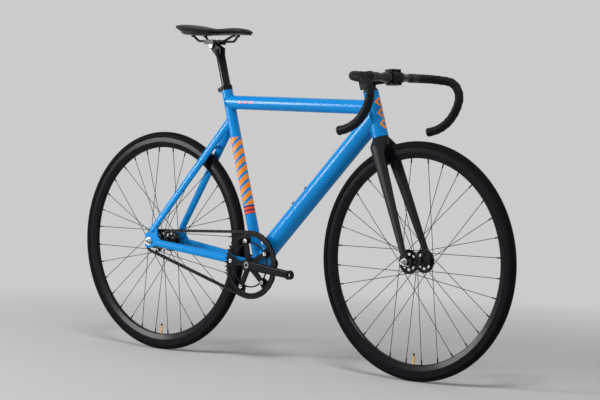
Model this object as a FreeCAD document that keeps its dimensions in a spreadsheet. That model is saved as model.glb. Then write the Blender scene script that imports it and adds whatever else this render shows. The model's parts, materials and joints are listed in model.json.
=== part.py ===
import FreeCAD, Part
import math
import os
from types import SimpleNamespace

import Sketcher

# A brakeless fixed gear road bike, standing upright and steering straight ahead.
# X runs forward, Y to the rider's left and Z up.
# The origin is on the ground, midway between the two axles.
# Lengths are millimetres and angles are degrees.

SIZES = {
    # layout
    "wheel_radius": 335,
    "bottom_bracket_drop": 47,
    "rear_tyre_gap": 18,
    "front_room": 248,
    "seat_angle": 73.7,
    "head_angle": 72.5,
    "fork_rake": 32,
    "crown_tyre_gap": 8.5,
    "crank_angle": 6,
    # clearances
    "fit": 0.2,
    "running_fit": 0.08,
    "mitre_gap": 0.1,
    "overrun": 5,
    # drive
    "chain_pitch": 12.7,
    "chainring_teeth": 48,
    "cog_teeth": 16,
    "chain_line": 43,
    "roller_radius": 3.9,
    "roller_clearance": 0.25,
    "tooth_height": 3.2,
    "tooth_flank_angle": 22,
    "tooth_thickness": 2.8,
    "link_height": 8.4,
    "inner_plate_place": 1.7,
    "plate_thickness": 1,
    "pin_radius": 1.8,
    "pin_length": 9.2,
    # tyres, tubes and rims
    "tyre_width": 25,
    "tyre_wall": 1.5,
    "tube_slack": 3,
    "tube_wall": 0.9,
    "valve_radius": 3,
    "valve_length": 60,
    "tyre_stand": 17.5,
    "rim_depth": 30,
    "rim_width": 20,
    "rim_wall": 1.6,
    "rim_bed_depth": 6,
    "rim_side_depth": 13,
    "rim_crown_width": 14,
    "rim_crown_round": 2.5,
    # spokes
    "spoke_count": 32,
    "spoke_crosses": 3,
    "spoke_radius": 0.9,
    "spoke_hole_inset": 5,
    "spoke_lift": 1.6,
    "spoke_head_radius": 1.8,
    "spoke_head_thickness": 1.2,
    "spoke_rim_offset": 0.8,
    "spoke_rim_spread": 0.5,
    "nipple_radius": 2,
    "nipple_length": 13,
    "nipple_head_radius": 2.7,
    "nipple_head_thickness": 2,
    # hubs
    "flange_radius": 34,
    "flange_thickness": 3,
    "flange_step_radius": 19,
    "flange_taper": 9,
    "flange_slot_count": 8,
    "flange_slot_inset": 7.5,
    "flange_slot_radius": 3.6,
    "hub_barrel_radius": 12,
    "hub_bore_radius": 8,
    "bearing_radius": 13,
    "bearing_width": 8,
    "front_hub_end_wall": 2.5,
    "front_hub_half_width": 41,
    "front_flange_inset": 6,
    "front_axle_radius": 4.5,
    "front_locknut_radius": 8,
    "front_locknut_length": 9,
    "rear_hub_end_wall": 4.2,
    "cog_hub_end_gap": 7,
    "cog_flange_gap": 11,
    "rear_axle_radius": 5,
    "rear_locknut_radius": 9,
    "rear_locknut_length": 10,
    "locknut_gap": 0.5,
    "washer_thickness": 2,
    "front_washer_radius": 10.5,
    "rear_washer_radius": 12.5,
    "axle_nut_radius": 8.7,
    "axle_nut_height": 8,
    "axle_end_length": 2,
    "lockring_wall": 4.3,
    "lockring_thickness": 4,
    "lockring_notch_count": 6,
    "lockring_notch_radius": 1.8,
    # frame tubes
    "tube_thickness": 1.6,
    "seat_tube_length": 534,
    "seat_tube_wall": 2.9,
    "seat_neck_wall": 1.1,
    "seat_slit_depth": 20,
    "top_tube_diameter": 41,
    "top_tube_seat_drop": 36.5,
    "top_tube_head_place": 88,
    "down_tube_diameter": 56.5,
    "down_tube_lift": 13.4,
    "down_tube_head_place": 60,
    "down_tube_foot_length": 75,
    "down_tube_foot_height": 38,
    "head_tube_length": 133,
    "head_tube_lower_wall": 3,
    "head_tube_upper_wall": 1.5,
    "head_tube_bore_gap": 2.7,
    "shell_wall": 4.5,
    "shell_half_width": 34,
    "shell_bore_radius": 17.5,
    "chainstay_chain_gap": 24.5,
    "chainstay_root_height": 27,
    "chainstay_root_width": 15,
    "chainstay_end_height": 22,
    "chainstay_end_width": 13,
    "chainstay_end_forward": 38,
    "chainstay_end_rise": -4.5,
    "chainstay_end_spread": 0,
    "seatstay_root_drop": 90,
    "seatstay_root_gap": 1,
    "seatstay_root_height": 27,
    "seatstay_root_width": 14,
    "seatstay_end_height": 22,
    "seatstay_end_width": 13,
    "seatstay_end_forward": 15,
    "seatstay_end_rise": 37.5,
    "seatstay_end_spread": 1,
    "bridge_radius": 6,
    "seatstay_bridge_share": 0.25,
    "chainstay_bridge_share": 0.085,
    "dropout_thickness": 5,
    "dropout_length": 72,
    "dropout_height": 60,
    "boss_radius": 6,
    "boss_height": 2.5,
    "boss_spacing": 64.5,
    "boss_place": 211,
    "boss_bolt_radius": 2.4,
    "boss_bolt_head_radius": 4.8,
    "boss_bolt_head_height": 3.4,
    "boss_bolt_length": 14,
    # bottom bracket and cranks
    "cup_lip_rise": 2.5,
    "cup_lip_thickness": 2,
    "spindle_radius": 8.5,
    "spindle_square": 12.6,
    "spindle_end_inset": 9,
    "crank_length": 170,
    "crank_boss_radius": 17,
    "crank_boss_gap": 2.8,
    "crank_boss_length": 24,
    "crank_arm_root_height": 29,
    "crank_arm_end_height": 21,
    "crank_arm_thickness": 12.5,
    "crank_arm_root_inset": 7.5,
    "crank_arm_flare": 6.5,
    "crank_eye_radius": 13.5,
    "crank_edge_radius": 4,
    "pedal_thread_radius": 7.1,
    "bolt_recess_gap": 0.6,
    "bolt_recess_depth": 8,
    "crank_bolt_radius": 4,
    "crank_bolt_head_radius": 10.6,
    "crank_bolt_head_height": 6,
    "crank_bolt_length": 24,
    "bolt_circle_radius": 72,
    "spider_arm_count": 5,
    "spider_arm_root_width": 17,
    "spider_arm_end_width": 14,
    "spider_arm_thickness": 6,
    "spider_tab_radius": 8.5,
    "chainring_bolt_radius": 4,
    "chainring_bolt_head_radius": 5.6,
    "chainring_bolt_head_height": 1.6,
    "chainring_inner_step": 9,
    "chainring_window_step": 5,
    "chainring_rim_depth": 13.2,
    "chainring_window_half_angle": 25,
    # seatpost and saddle
    "seat_clamp_height": 14,
    "seat_clamp_wall": 2.2,
    "seat_clamp_slit": 3,
    "seat_clamp_ear_length": 9,
    "seat_clamp_ear_width": 22,
    "seat_clamp_bolt_radius": 2.5,
    "seat_clamp_bolt_head_radius": 4.3,
    "seat_clamp_bolt_head_height": 4.5,
    "seatpost_diameter": 27.2,
    "seatpost_wall": 2.4,
    "seatpost_length": 330,
    "seatpost_exposed": 127.7,
    "seatpost_head_rise": 15,
    "seatpost_setback": 16,
    "seatpost_head_radius": 10,
    "seatpost_head_half_width": 12,
    "seatpost_neck_half_width": 11,
    "seatpost_neck_length": 22,
    "seatpost_neck_front_angle": 37,
    "seatpost_neck_rear_angle": 205,
    "rail_radius": 3.5,
    "rail_rise": 14,
    "rail_spread": 22,
    "rail_straight_rear": 45,
    "rail_straight_front": 58,
    "rail_rear_run": 20,
    "rail_front_run": 27,
    "rail_rear_spread": 27,
    "rail_front_spread": 10,
    "rail_bend_radius": 18,
    "cradle_half_length": 19,
    "cradle_half_width": 28,
    "cradle_ear_thickness": 3.6,
    "cradle_ear_radius": 7.5,
    "cradle_cap_thickness": 4,
    "clamp_bolt_radius": 3,
    "clamp_bolt_head_radius": 4.6,
    "clamp_bolt_head_height": 2.4,
    "cradle_bolt_place": 13.5,
    "cradle_bolt_radius": 2.4,
    "cradle_bolt_drop": 2,
    "rear_bolt_reach": 25,
    "rear_bolt_nut_height": 4,
    "saddle_length": 267,
    "saddle_width": 140,
    "saddle_rise": 51,
    "saddle_depth": 28,
    "saddle_rear_reach": 123,
    "saddle_shell_thickness": 4,
    "saddle_shell_gap": 0.4,
    "saddle_boss_wall": 2,
    "saddle_boss_height": 8,
    # headset, fork and steering
    "steerer_radius": 14.3,
    "steerer_wall": 2.3,
    "headset_bearing_depth": 6.2,
    "headset_bearing_height": 7,
    "headset_bearing_inset": 1,
    "headset_gap": 0.5,
    "headset_cover_height": 10,
    "headset_cover_rise": 1,
    "spacer_wall": 3,
    "spacer_height": 3,
    "steerer_cap_height": 4,
    "steerer_cap_bolt_radius": 4.5,
    "steerer_cap_bolt_height": 1.5,
    "crown_height": 25.5,
    "crown_inset": 0.5,
    "crown_half_width": 30,
    "crown_half_depth": 20,
    "crown_shoulder_place": 10,
    "crown_shoulder_depth": 36,
    "crown_shoulder_width": 24,
    "blade_root_place": 31,
    "blade_root_depth": 44,
    "blade_root_width": 22,
    "blade_root_forward": 3,
    "blade_end_depth": 20,
    "blade_end_width": 11,
    "blade_end_rise": 20,
    "fork_tip_thickness": 6,
    "fork_tip_radius": 13,
    "fork_tip_width": 17,
    "fork_tip_length": 34,
    # stem and handlebar
    "stem_length": 90.5,
    "stem_drop_angle": 11,
    "stem_clamp_height": 40,
    "stem_clamp_wall": 4.2,
    "stem_arm_radius": 14.5,
    "stem_bolt_radius": 2,
    "stem_bolt_head_radius": 3.2,
    "stem_bolt_head_height": 3.2,
    "stem_bolt_wall": 1,
    "stem_bolt_spread": 14,
    "stem_bolt_length": 19,
    "bar_clamp_wall": 3.5,
    "bar_clamp_half_width": 21,
    "bar_clamp_lug_depth": 12,
    "faceplate_gap": 2,
    "pinch_bolt_spread": 12,
    "pinch_lug_depth": 9,
    "pinch_lug_half_width": 10,
    "pinch_slit": 2.5,
    "bar_centre_radius": 15.9,
    "bar_centre_half_length": 30,
    "bar_taper_end": 56,
    "bar_radius": 11.1,
    "bar_wall": 2,
    "bar_half_width": 203,
    "bare_bar_length": 18,
    "bar_ramp_reach": 96,
    "bar_ramp_drop": 13,
    "bar_hook_reach": 56.5,
    "bar_hook_drop": 134.5,
    "bar_end_reach": 21,
    "bar_end_drop": 151.6,
    "bar_corner_radius": 39,
    "bar_front_radius": 47,
    "bar_hook_radius": 120,
    "tape_thickness": 1.9,
    "plug_thickness": 4,
    "plug_depth": 9,
}

# Rear end plate, as shares of its length behind and ahead of the axle and of its height.
DROPOUT_OUTLINE_SHARES = [
    (-0.28, 0.33),
    (-0.17, 0.12),
    (-0.17, -0.12),
    (-0.24, -0.27),
    (0.0, -0.35),
    (0.3, -0.24),
    (0.64, -0.2),
    (0.66, 0.05),
    (0.47, 0.3),
    (0.42, 0.74),
    (0.16, 0.74),
    (0.1, 0.58),
]
DROPOUT_SLOT_FRONT_SHARE = 0.06
DROPOUT_SLOT_REAR_SHARE = 0.4

# Saddle stations from tail to nose: share of length, of half width, of rise and of depth,
# and how far the crown stands above the shoulders as a share of depth.
SADDLE_STATION_SHARES = [
    (0.0, 0.5, 0.93, 0.5, 0.2),
    (0.04, 0.8, 0.99, 0.75, 0.3),
    (0.14, 1.0, 0.97, 0.95, 0.42),
    (0.28, 0.93, 0.87, 0.78, 0.4),
    (0.42, 0.62, 0.77, 0.58, 0.32),
    (0.56, 0.38, 0.745, 0.54, 0.26),
    (0.76, 0.29, 0.79, 0.6, 0.22),
    (0.93, 0.25, 0.715, 0.49, 0.2),
    (1.0, 0.14, 0.58, 0.24, 0.08),
]
SADDLE_SIDE_SHARE = 0.86
SADDLE_SKIRT_SHARE = 0.58
SADDLE_SHELL_WIDTH_SHARE = 0.52

doc = FreeCAD.newDocument("fixed_gear_bike")
sheet = doc.addObject("Spreadsheet::Sheet", "Sizes")
for row, (alias, number) in enumerate(SIZES.items(), 1):
    sheet.set(f"A{row}", alias)
    sheet.set(f"B{row}", str(number))
    sheet.setAlias(f"B{row}", alias)
doc.recompute()


class Cell:
    """A sum of named sizes: its number now, and the sheet expression that a feature is bound to."""

    def __init__(self, number, text):
        self.number = number
        self.text = text

    def __add__(self, other):
        other = as_cell(other)
        return Cell(self.number + other.number, f"({self.text} + {other.text})")

    def __sub__(self, other):
        other = as_cell(other)
        return Cell(self.number - other.number, f"({self.text} - {other.text})")

    def __neg__(self):
        return Cell(-self.number, f"(-{self.text})")

    def __mul__(self, factor):
        return Cell(self.number * factor, f"({self.text} * {factor})")

    def __truediv__(self, factor):
        return Cell(self.number / factor, f"({self.text} / {factor})")


def as_cell(value):
    if isinstance(value, Cell):
        return value
    return Cell(value, str(value))


# The same sizes twice: plain numbers for places worked out in code, and cells for bound features.
mm = SimpleNamespace(**{alias: float(sheet.get(alias)) for alias in SIZES})
cell = SimpleNamespace(**{alias: Cell(getattr(mm, alias), f"Sizes.{alias}") for alias in SIZES})


def follow(alias, value):
    """Adds a size that follows from other sizes."""
    setattr(cell, alias, value)
    setattr(mm, alias, value.number)


follow("bottom_bracket_height", cell.wheel_radius - cell.bottom_bracket_drop)
follow("rim_edge_radius", cell.wheel_radius - cell.tyre_stand)
follow("tube_radius", cell.tyre_width / 2 - cell.tyre_wall - cell.tube_slack)
follow("spoke_circle_radius", cell.flange_radius - cell.spoke_hole_inset)
follow("flange_slot_circle_radius", cell.spoke_circle_radius - cell.flange_slot_inset)
follow("front_hub_end_radius", cell.bearing_radius + cell.front_hub_end_wall)
follow("front_flange_place", cell.front_hub_half_width - cell.front_flange_inset)
follow("front_spacing", (cell.front_hub_half_width + cell.front_locknut_length) * 2)
follow("rear_hub_end_radius", cell.bearing_radius + cell.rear_hub_end_wall)
follow("rear_hub_half_width", cell.chain_line + cell.cog_hub_end_gap)
follow("rear_flange_place", cell.chain_line - cell.cog_flange_gap)
follow("rear_spacing", (cell.rear_hub_half_width + cell.rear_locknut_length) * 2)
follow("seat_tube_diameter", cell.seatpost_diameter + cell.seat_tube_wall * 2)
follow("seat_neck_radius", cell.seatpost_diameter / 2 + cell.running_fit + cell.seat_neck_wall)
follow("headset_bearing_radius", cell.steerer_radius + cell.headset_bearing_depth)
follow("head_tube_lower_radius", cell.headset_bearing_radius + cell.head_tube_lower_wall)
follow("head_tube_upper_radius", cell.headset_bearing_radius + cell.head_tube_upper_wall)
follow("head_tube_bore_radius", cell.steerer_radius + cell.head_tube_bore_gap)
follow("headset_cover_radius", cell.headset_bearing_radius + cell.headset_cover_rise)
follow("spacer_radius", cell.steerer_radius + cell.spacer_wall)
follow("crown_radius", cell.head_tube_lower_radius - cell.crown_inset)
follow("shell_radius", cell.shell_bore_radius + cell.shell_wall)
follow("cup_lip_radius", cell.shell_bore_radius + cell.cup_lip_rise)
follow("crank_boss_inner_place",
       cell.shell_half_width + cell.fit + cell.cup_lip_thickness + cell.crank_boss_gap)
follow("crank_boss_outer_place", cell.crank_boss_inner_place + cell.crank_boss_length)
follow("spindle_half_length", cell.crank_boss_outer_place - cell.spindle_end_inset)
follow("crank_arm_root_place", cell.crank_boss_outer_place - cell.crank_arm_root_inset)
follow("crank_eye_place", cell.crank_arm_root_place + cell.crank_arm_flare)
follow("bolt_recess_radius", cell.crank_bolt_head_radius + cell.bolt_recess_gap)
follow("chainring_inner_radius", cell.bolt_circle_radius - cell.chainring_inner_step)
follow("chainring_window_inner_radius", cell.bolt_circle_radius - cell.chainring_window_step)
follow("chainstay_root_spread", cell.chain_line - cell.chainstay_chain_gap)
follow("seatstay_root_spread", (cell.seatstay_root_width + cell.seatstay_root_gap) / 2)
follow("bar_clamp_radius", cell.bar_centre_radius + cell.bar_clamp_wall)
follow("stem_bolt_rise", cell.bar_centre_radius + cell.stem_bolt_wall + cell.stem_bolt_radius)
follow("bar_clamp_lug_rise", cell.stem_bolt_rise + cell.stem_bolt_head_radius + cell.fit)

nodes = []
SIDES = {"right": -1, "left": 1}
Y_AXIS = FreeCAD.Vector(0, 1, 0)
Z_AXIS = FreeCAD.Vector(0, 0, 1)
ORIGIN = FreeCAD.Vector(0, 0, 0)


# Small geometry helpers

def vec(x, y, z):
    return FreeCAD.Vector(x, y, z)


def leaning(base, angle):
    """A frame at base, turned about Y: a negative angle leans its Z axis back."""
    return FreeCAD.Placement(base, FreeCAD.Rotation(Y_AXIS, angle))


def aimed(start, end):
    """A frame at start whose Z axis runs towards end."""
    return FreeCAD.Placement(start, FreeCAD.Rotation(Z_AXIS, end - start))


def polar(radius, angle, y=0.0):
    """A point at an angle in degrees about the Y axis, measured from X towards Z."""
    turn = math.radians(angle)
    return vec(radius * math.cos(turn), y, radius * math.sin(turn))


def line(start, end):
    return Part.makeLine(start, end)


def arc(start, middle, end):
    return Part.Arc(start, middle, end).toShape()


def polygon(points):
    return Part.Face(Part.makePolygon(points + points[:1]))


def rod(start, end, radius):
    return Part.makeCylinder(radius, (end - start).Length, start, end - start)


def box(low, high):
    return Part.makeBox(high.x - low.x, high.y - low.y, high.z - low.z, low)


def across(radius, low, high, x=0.0, z=0.0):
    """A cylinder along Y."""
    return Part.makeCylinder(radius, high - low, vec(x, low, z), Y_AXIS)


def ring(outer, inner, low, high):
    """A washer-like ring about the Y axis."""
    return across(outer, low, high).cut(across(inner, low, high))


def collar(outer, inner, low, high):
    """A washer-like ring about the Z axis."""
    body = rod(vec(0, 0, low), vec(0, 0, high), outer)
    return body.cut(rod(vec(0, 0, low), vec(0, 0, high), inner))


def hexagon(radius, low, high):
    corners = [polar(radius, 60 * k, low) for k in range(6)]
    return polygon(corners).extrude(vec(0, high - low, 0))


def ellipse(centre, half_x, half_y):
    """A closed elliptic wire in a level plane."""
    if half_x >= half_y:
        curve = Part.Ellipse(centre + vec(half_x, 0, 0), centre + vec(0, half_y, 0), centre)
    else:
        curve = Part.Ellipse(centre + vec(0, half_y, 0), centre - vec(half_x, 0, 0), centre)
    return Part.Wire(curve.toShape())


def round_copies(shape, count, step):
    """Copies of a shape turned about the Y axis."""
    return [shape.rotated(ORIGIN, Y_AXIS, -step * k) for k in range(count)]


def rounded_path(points, radii):
    """Straight runs joined by tangent arcs."""
    edges = []
    start = points[0]
    for before, corner, after, radius in zip(points, points[1:], points[2:], radii):
        toward = (before - corner).normalize()
        away = (after - corner).normalize()
        half_turn = (math.pi - toward.getAngle(away)) / 2
        reach = radius * math.tan(half_turn)
        inward = (toward + away).normalize()
        first = corner + toward * reach
        last = corner + away * reach
        middle = corner + inward * (radius / math.cos(half_turn) - radius)
        edges.append(line(start, first))
        edges.append(arc(first, middle, last))
        start = last
    edges.append(line(start, points[-1]))
    return Part.Wire(edges)


def pipe(points, radii, radius):
    """A round bar swept along a rounded path."""
    circle = Part.Circle(points[0], points[1] - points[0], radius)
    return rounded_path(points, radii).makePipeShell([Part.Wire(circle.toShape())], True, True)


def mirrored(shape):
    """The same shape on the other side of the bike's middle plane."""
    return shape.mirror(ORIGIN, Y_AXIS)


# Document helpers

def origin_plane(body, role):
    return next(plane for plane in body.Origin.OriginFeatures if plane.Role == role)


def bind(feature, name, value):
    feature.setExpression(name, value.text)


def add_loop(sketch, corners):
    """A closed outline whose every corner is tied to the sheet."""
    first = sketch.GeometryCount
    corners = [(as_cell(x), as_cell(y)) for x, y in corners]
    count = len(corners)
    for k in range(count):
        x, y = corners[k]
        next_x, next_y = corners[(k + 1) % count]
        start = vec(x.number, y.number, 0)
        sketch.addGeometry(Part.LineSegment(start, vec(next_x.number, next_y.number, 0)), False)
    for k in range(count):
        following = first + (k + 1) % count
        sketch.addConstraint(Sketcher.Constraint("Coincident", first + k, 2, following, 1))
    for k, place in enumerate(corners):
        for kind, value in zip(("DistanceX", "DistanceY"), place):
            made = sketch.addConstraint(Sketcher.Constraint(kind, -1, 1, first + k, 1, value.number))
            if "Sizes" in value.text:
                sketch.setExpression(f"Constraints[{made}]", value.text)


def turned(name, loops, plane="XY_Plane", placement=None):
    """A body turned about its sketch's upright axis; corners are (radius, place along the axis)."""
    body = doc.addObject("PartDesign::Body", name)
    sketch = body.newObject("Sketcher::SketchObject", f"{name}_profile")
    sketch.AttachmentSupport = [(origin_plane(body, plane), "")]
    sketch.MapMode = "FlatFace"
    for loop in loops:
        add_loop(sketch, loop)
    turn = body.newObject("PartDesign::Revolution", f"{name}_turn")
    turn.Profile = sketch
    turn.ReferenceAxis = (sketch, ["V_Axis"])
    turn.Angle = 360
    if placement:
        body.Placement = placement
    return body


def straight_rod(name, start, end, radius):
    """A cylinder between two points, its radius tied to the sheet."""
    feature = doc.addObject("Part::Cylinder", name)
    bind(feature, "Radius", radius)
    feature.Height = (end - start).Length
    feature.Placement = aimed(start, end)
    return feature


def shaped(name, shape, placement=None):
    """A feature that holds a shape worked out in code."""
    feature = doc.addObject("Part::Feature", name)
    feature.Shape = shape
    if placement:
        feature.Placement = placement
    return feature


def cut(name, base, tool):
    feature = doc.addObject("Part::Cut", name)
    feature.Base = base
    feature.Tool = tool
    return feature


def cut_away(name, base, shapes, placement=None):
    """A base feature with several shapes cut out of it."""
    tools = shaped(f"{name}_cutters", Part.makeCompound(shapes), placement)
    return cut(name, base, tools)


def keep(feature, name):
    """Marks a feature as a finished piece of the bike."""
    feature.Label = name
    nodes.append(feature)
    return feature


def keep_pair(name, features):
    """A finished piece of two matching halves."""
    pair = doc.addObject("Part::Compound", name)
    pair.Links = features
    return keep(pair, name)


def keep_solids(name, shapes, placement=None):
    """A finished piece made of one or more separate solids."""
    return keep(shaped(name, Part.makeCompound(shapes), placement), name)


# Layout worked out from the driving sizes

def pitch_radius(teeth):
    return mm.chain_pitch / (2 * math.sin(math.pi / teeth))


RING_RADIUS = pitch_radius(mm.chainring_teeth)
COG_RADIUS = pitch_radius(mm.cog_teeth)


def chain_runs(centres):
    """Pitches on the chainring, on one straight run and on the cog, and the tangent angle."""
    tilt = math.asin((RING_RADIUS - COG_RADIUS) / centres)
    straight = math.sqrt(centres ** 2 - (RING_RADIUS - COG_RADIUS) ** 2) / mm.chain_pitch
    on_ring = (math.pi + 2 * tilt) * mm.chainring_teeth / (2 * math.pi)
    on_cog = (math.pi - 2 * tilt) * mm.cog_teeth / (2 * math.pi)
    return on_ring, straight, on_cog, math.pi / 2 - tilt


def chain_pitches(centres):
    """The length of the closed chain in pitches."""
    on_ring, straight, on_cog, _angle = chain_runs(centres)
    return on_ring + 2 * straight + on_cog


def rear_room():
    """The distance between crank and rear axles that leaves the tyre clear of the seat tube."""
    lean = math.radians(mm.seat_angle)
    reach = mm.wheel_radius + mm.seat_tube_diameter / 2 + mm.rear_tyre_gap
    run = (reach + mm.bottom_bracket_drop * math.cos(lean)) / math.sin(lean)
    return math.hypot(run, mm.bottom_bracket_drop)


def taut_chainstay():
    """The distance between crank and rear axles at which the closed chain is just taut."""
    low = RING_RADIUS + COG_RADIUS
    high = CHAIN_LINKS * mm.chain_pitch
    for _ in range(60):
        middle = (low + high) / 2
        if chain_pitches(middle) > CHAIN_LINKS:
            high = middle
        else:
            low = middle
    return (low + high) / 2


CHAIN_LINKS = 2 * round(chain_pitches(rear_room()) / 2)
CHAINSTAY = taut_chainstay()
FRONT_CENTRE = mm.wheel_radius + mm.front_room
WHEELBASE = math.sqrt(CHAINSTAY ** 2 - mm.bottom_bracket_drop ** 2) + FRONT_CENTRE
REAR_AXLE = vec(-WHEELBASE / 2, 0, mm.wheel_radius)
FRONT_AXLE = vec(WHEELBASE / 2, 0, mm.wheel_radius)
CRANK_AXLE = vec(FRONT_AXLE.x - FRONT_CENTRE, 0, mm.bottom_bracket_height)

HEAD_LEAN = mm.head_angle - 90
SEAT_LEAN = mm.seat_angle - 90
HEAD_TURN = FreeCAD.Rotation(Y_AXIS, HEAD_LEAN)
TYRE_TOP = math.sqrt(mm.wheel_radius ** 2 - mm.fork_rake ** 2)
AXLE_TO_HEAD = TYRE_TOP + mm.crown_tyre_gap + mm.crown_height + mm.headset_gap
HEAD_BASE = FRONT_AXLE + HEAD_TURN.multVec(vec(-mm.fork_rake, 0, AXLE_TO_HEAD))
STEERING = leaning(HEAD_BASE, HEAD_LEAN)
SEAT_LINE = leaning(CRANK_AXLE, SEAT_LEAN)
CRANKS = leaning(CRANK_AXLE, mm.crank_angle)
REAR = FreeCAD.Placement(REAR_AXLE, FreeCAD.Rotation())
FRONT = FreeCAD.Placement(FRONT_AXLE, FreeCAD.Rotation())
CRANK_CENTRE = FreeCAD.Placement(CRANK_AXLE, FreeCAD.Rotation())


# Chain and sprockets

def chain_point(pitches):
    """The place of a chain joint, counted in pitches from where the chain meets the chainring's top."""
    on_ring, straight, on_cog, tangent = chain_runs(CHAINSTAY)
    backward = (REAR_AXLE - CRANK_AXLE).normalize()
    upward = vec(-backward.z, 0, backward.x) * -1

    def around(centre, radius, angle):
        return centre + backward * (radius * math.cos(angle)) + upward * (radius * math.sin(angle))

    if pitches <= on_ring:
        return around(CRANK_AXLE, RING_RADIUS, tangent + pitches * 2 * math.pi / mm.chainring_teeth)
    left = pitches - on_ring
    if left <= straight:
        start = around(CRANK_AXLE, RING_RADIUS, -tangent)
        end = around(REAR_AXLE, COG_RADIUS, -tangent)
        return start + (end - start) * (left / straight)
    left -= straight
    if left <= on_cog:
        return around(REAR_AXLE, COG_RADIUS, left * 2 * math.pi / mm.cog_teeth - tangent)
    left -= on_cog
    start = around(REAR_AXLE, COG_RADIUS, tangent)
    end = around(CRANK_AXLE, RING_RADIUS, tangent)
    return start + (end - start) * (left / straight)


def plate(half_height, low, high):
    """A round-ended link plate, one pitch between its eyes."""
    half = mm.chain_pitch / 2
    top = half_height
    edges = [
        line(vec(-half, low, top), vec(half, low, top)),
        arc(vec(half, low, top), vec(half + top, low, 0), vec(half, low, -top)),
        line(vec(half, low, -top), vec(-half, low, -top)),
        arc(vec(-half, low, -top), vec(-half - top, low, 0), vec(-half, low, top)),
    ]
    return Part.Face(Part.Wire(edges)).extrude(vec(0, high - low, 0))


def link_pair(place, half_height):
    """The two plates of a link, the near faces at a distance from the chain's middle plane."""
    near = plate(half_height, place, place + mm.plate_thickness)
    return [near, mirrored(near)]


def inner_link():
    half = mm.chain_pitch / 2
    place = mm.inner_plate_place
    rollers = [across(mm.roller_radius, -place, place, x) for x in (-half, half)]
    plates = link_pair(place, mm.link_height / 2)
    body = rollers[0].multiFuse(rollers[1:] + plates)
    reach = place + mm.plate_thickness
    bores = [across(mm.pin_radius + mm.running_fit, -reach, reach, x) for x in (-half, half)]
    return body.cut(bores[0]).cut(bores[1])


def outer_link():
    half = mm.chain_pitch / 2
    place = mm.inner_plate_place + mm.plate_thickness + mm.fit
    pins = [across(mm.pin_radius, -mm.pin_length / 2, mm.pin_length / 2, x) for x in (-half, half)]
    plates = link_pair(place, mm.link_height / 2 - mm.fit)
    return pins[0].multiFuse(pins[1:] + plates)


def chain():
    kinds = [inner_link(), outer_link()]
    count = CHAIN_LINKS
    joints = [chain_point(k) for k in range(count)]
    middle_plane = vec(0, -mm.chain_line, 0)
    links = []
    for k in range(count):
        start = joints[k]
        run = joints[(k + 1) % count] - start
        turn = -math.degrees(math.atan2(run.z, run.x))
        link = kinds[k % 2].copy()
        link.Placement = leaning(start + run / 2 + middle_plane, turn)
        links.append(link)
    keep_solids("chain", links)


def tooth_ring(teeth, radius, first_angle):
    """The toothed outline of a sprocket, one roller seat at the first angle."""
    seat = mm.roller_radius + mm.roller_clearance
    flank = math.radians(mm.tooth_flank_angle)
    low_u = -seat * math.sin(flank)
    low_v = seat * math.cos(flank)
    high_u = mm.tooth_height
    high_v = low_v + (high_u - low_u) * math.tan(flank)

    def place(tooth, u, v):
        middle = math.radians(first_angle + tooth * 360 / teeth)
        outward = vec(math.cos(middle), 0, math.sin(middle))
        sideways = vec(-math.sin(middle), 0, math.cos(middle))
        return outward * (radius + u) + sideways * v

    edges = []
    for tooth in range(int(teeth)):
        edges.append(line(place(tooth, high_u, -high_v), place(tooth, low_u, -low_v)))
        edges.append(arc(place(tooth, low_u, -low_v), place(tooth, -seat, 0), place(tooth, low_u, low_v)))
        edges.append(line(place(tooth, low_u, low_v), place(tooth, high_u, high_v)))
        edges.append(line(place(tooth, high_u, high_v), place(tooth + 1, high_u, -high_v)))
    return Part.Face(Part.Wire(edges))


def sprocket(teeth, radius, first_angle, bore):
    """A toothed disc on the chain line with a round bore."""
    low = -mm.chain_line - mm.tooth_thickness / 2
    high = low + mm.tooth_thickness
    disc = tooth_ring(teeth, radius, first_angle).extrude(vec(0, mm.tooth_thickness, 0))
    disc.translate(vec(0, low, 0))
    return disc.cut(across(bore, low, high))


def angle_of(point, centre):
    offset = point - centre
    return math.degrees(math.atan2(offset.z, offset.x))


def rear_cog():
    on_ring, straight, _on_cog, _angle = chain_runs(CHAINSTAY)
    first_joint = chain_point(math.ceil(on_ring + straight))
    first_angle = angle_of(first_joint, REAR_AXLE)
    bore = mm.rear_hub_end_radius + mm.running_fit
    keep_solids("rear_cog", [sprocket(mm.cog_teeth, COG_RADIUS, first_angle, bore)], REAR)
    start = -mm.chain_line - mm.tooth_thickness / 2 - mm.fit
    outer = bore + mm.lockring_wall
    lockring = ring(outer, bore, start - mm.lockring_thickness, start)
    notch = across(mm.lockring_notch_radius, start - mm.lockring_thickness, start, outer)
    notches = round_copies(notch, int(mm.lockring_notch_count), 360 / mm.lockring_notch_count)
    keep_solids("cog_lockring", [lockring.cut(Part.makeCompound(notches))], REAR)


def chainring_window():
    """One open window of the chainring, centred on the X axis."""
    half = mm.chainring_window_half_angle
    outer = RING_RADIUS - mm.chainring_rim_depth
    inner = mm.chainring_window_inner_radius
    low = -mm.chain_line - mm.tooth_thickness
    edges = [
        arc(polar(outer, -half, low), polar(outer, 0, low), polar(outer, half, low)),
        line(polar(outer, half, low), polar(inner, half, low)),
        arc(polar(inner, half, low), polar(inner, 0, low), polar(inner, -half, low)),
        line(polar(inner, -half, low), polar(outer, -half, low)),
    ]
    return Part.Face(Part.Wire(edges)).extrude(vec(0, 2 * mm.tooth_thickness, 0))


def spider_step():
    return 360 / mm.spider_arm_count


def bolt_holes(radius, low, high):
    hole = across(radius, low, high, mm.bolt_circle_radius)
    first = hole.rotated(ORIGIN, Y_AXIS, -spider_step() / 2)
    return round_copies(first, int(mm.spider_arm_count), spider_step())


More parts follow.
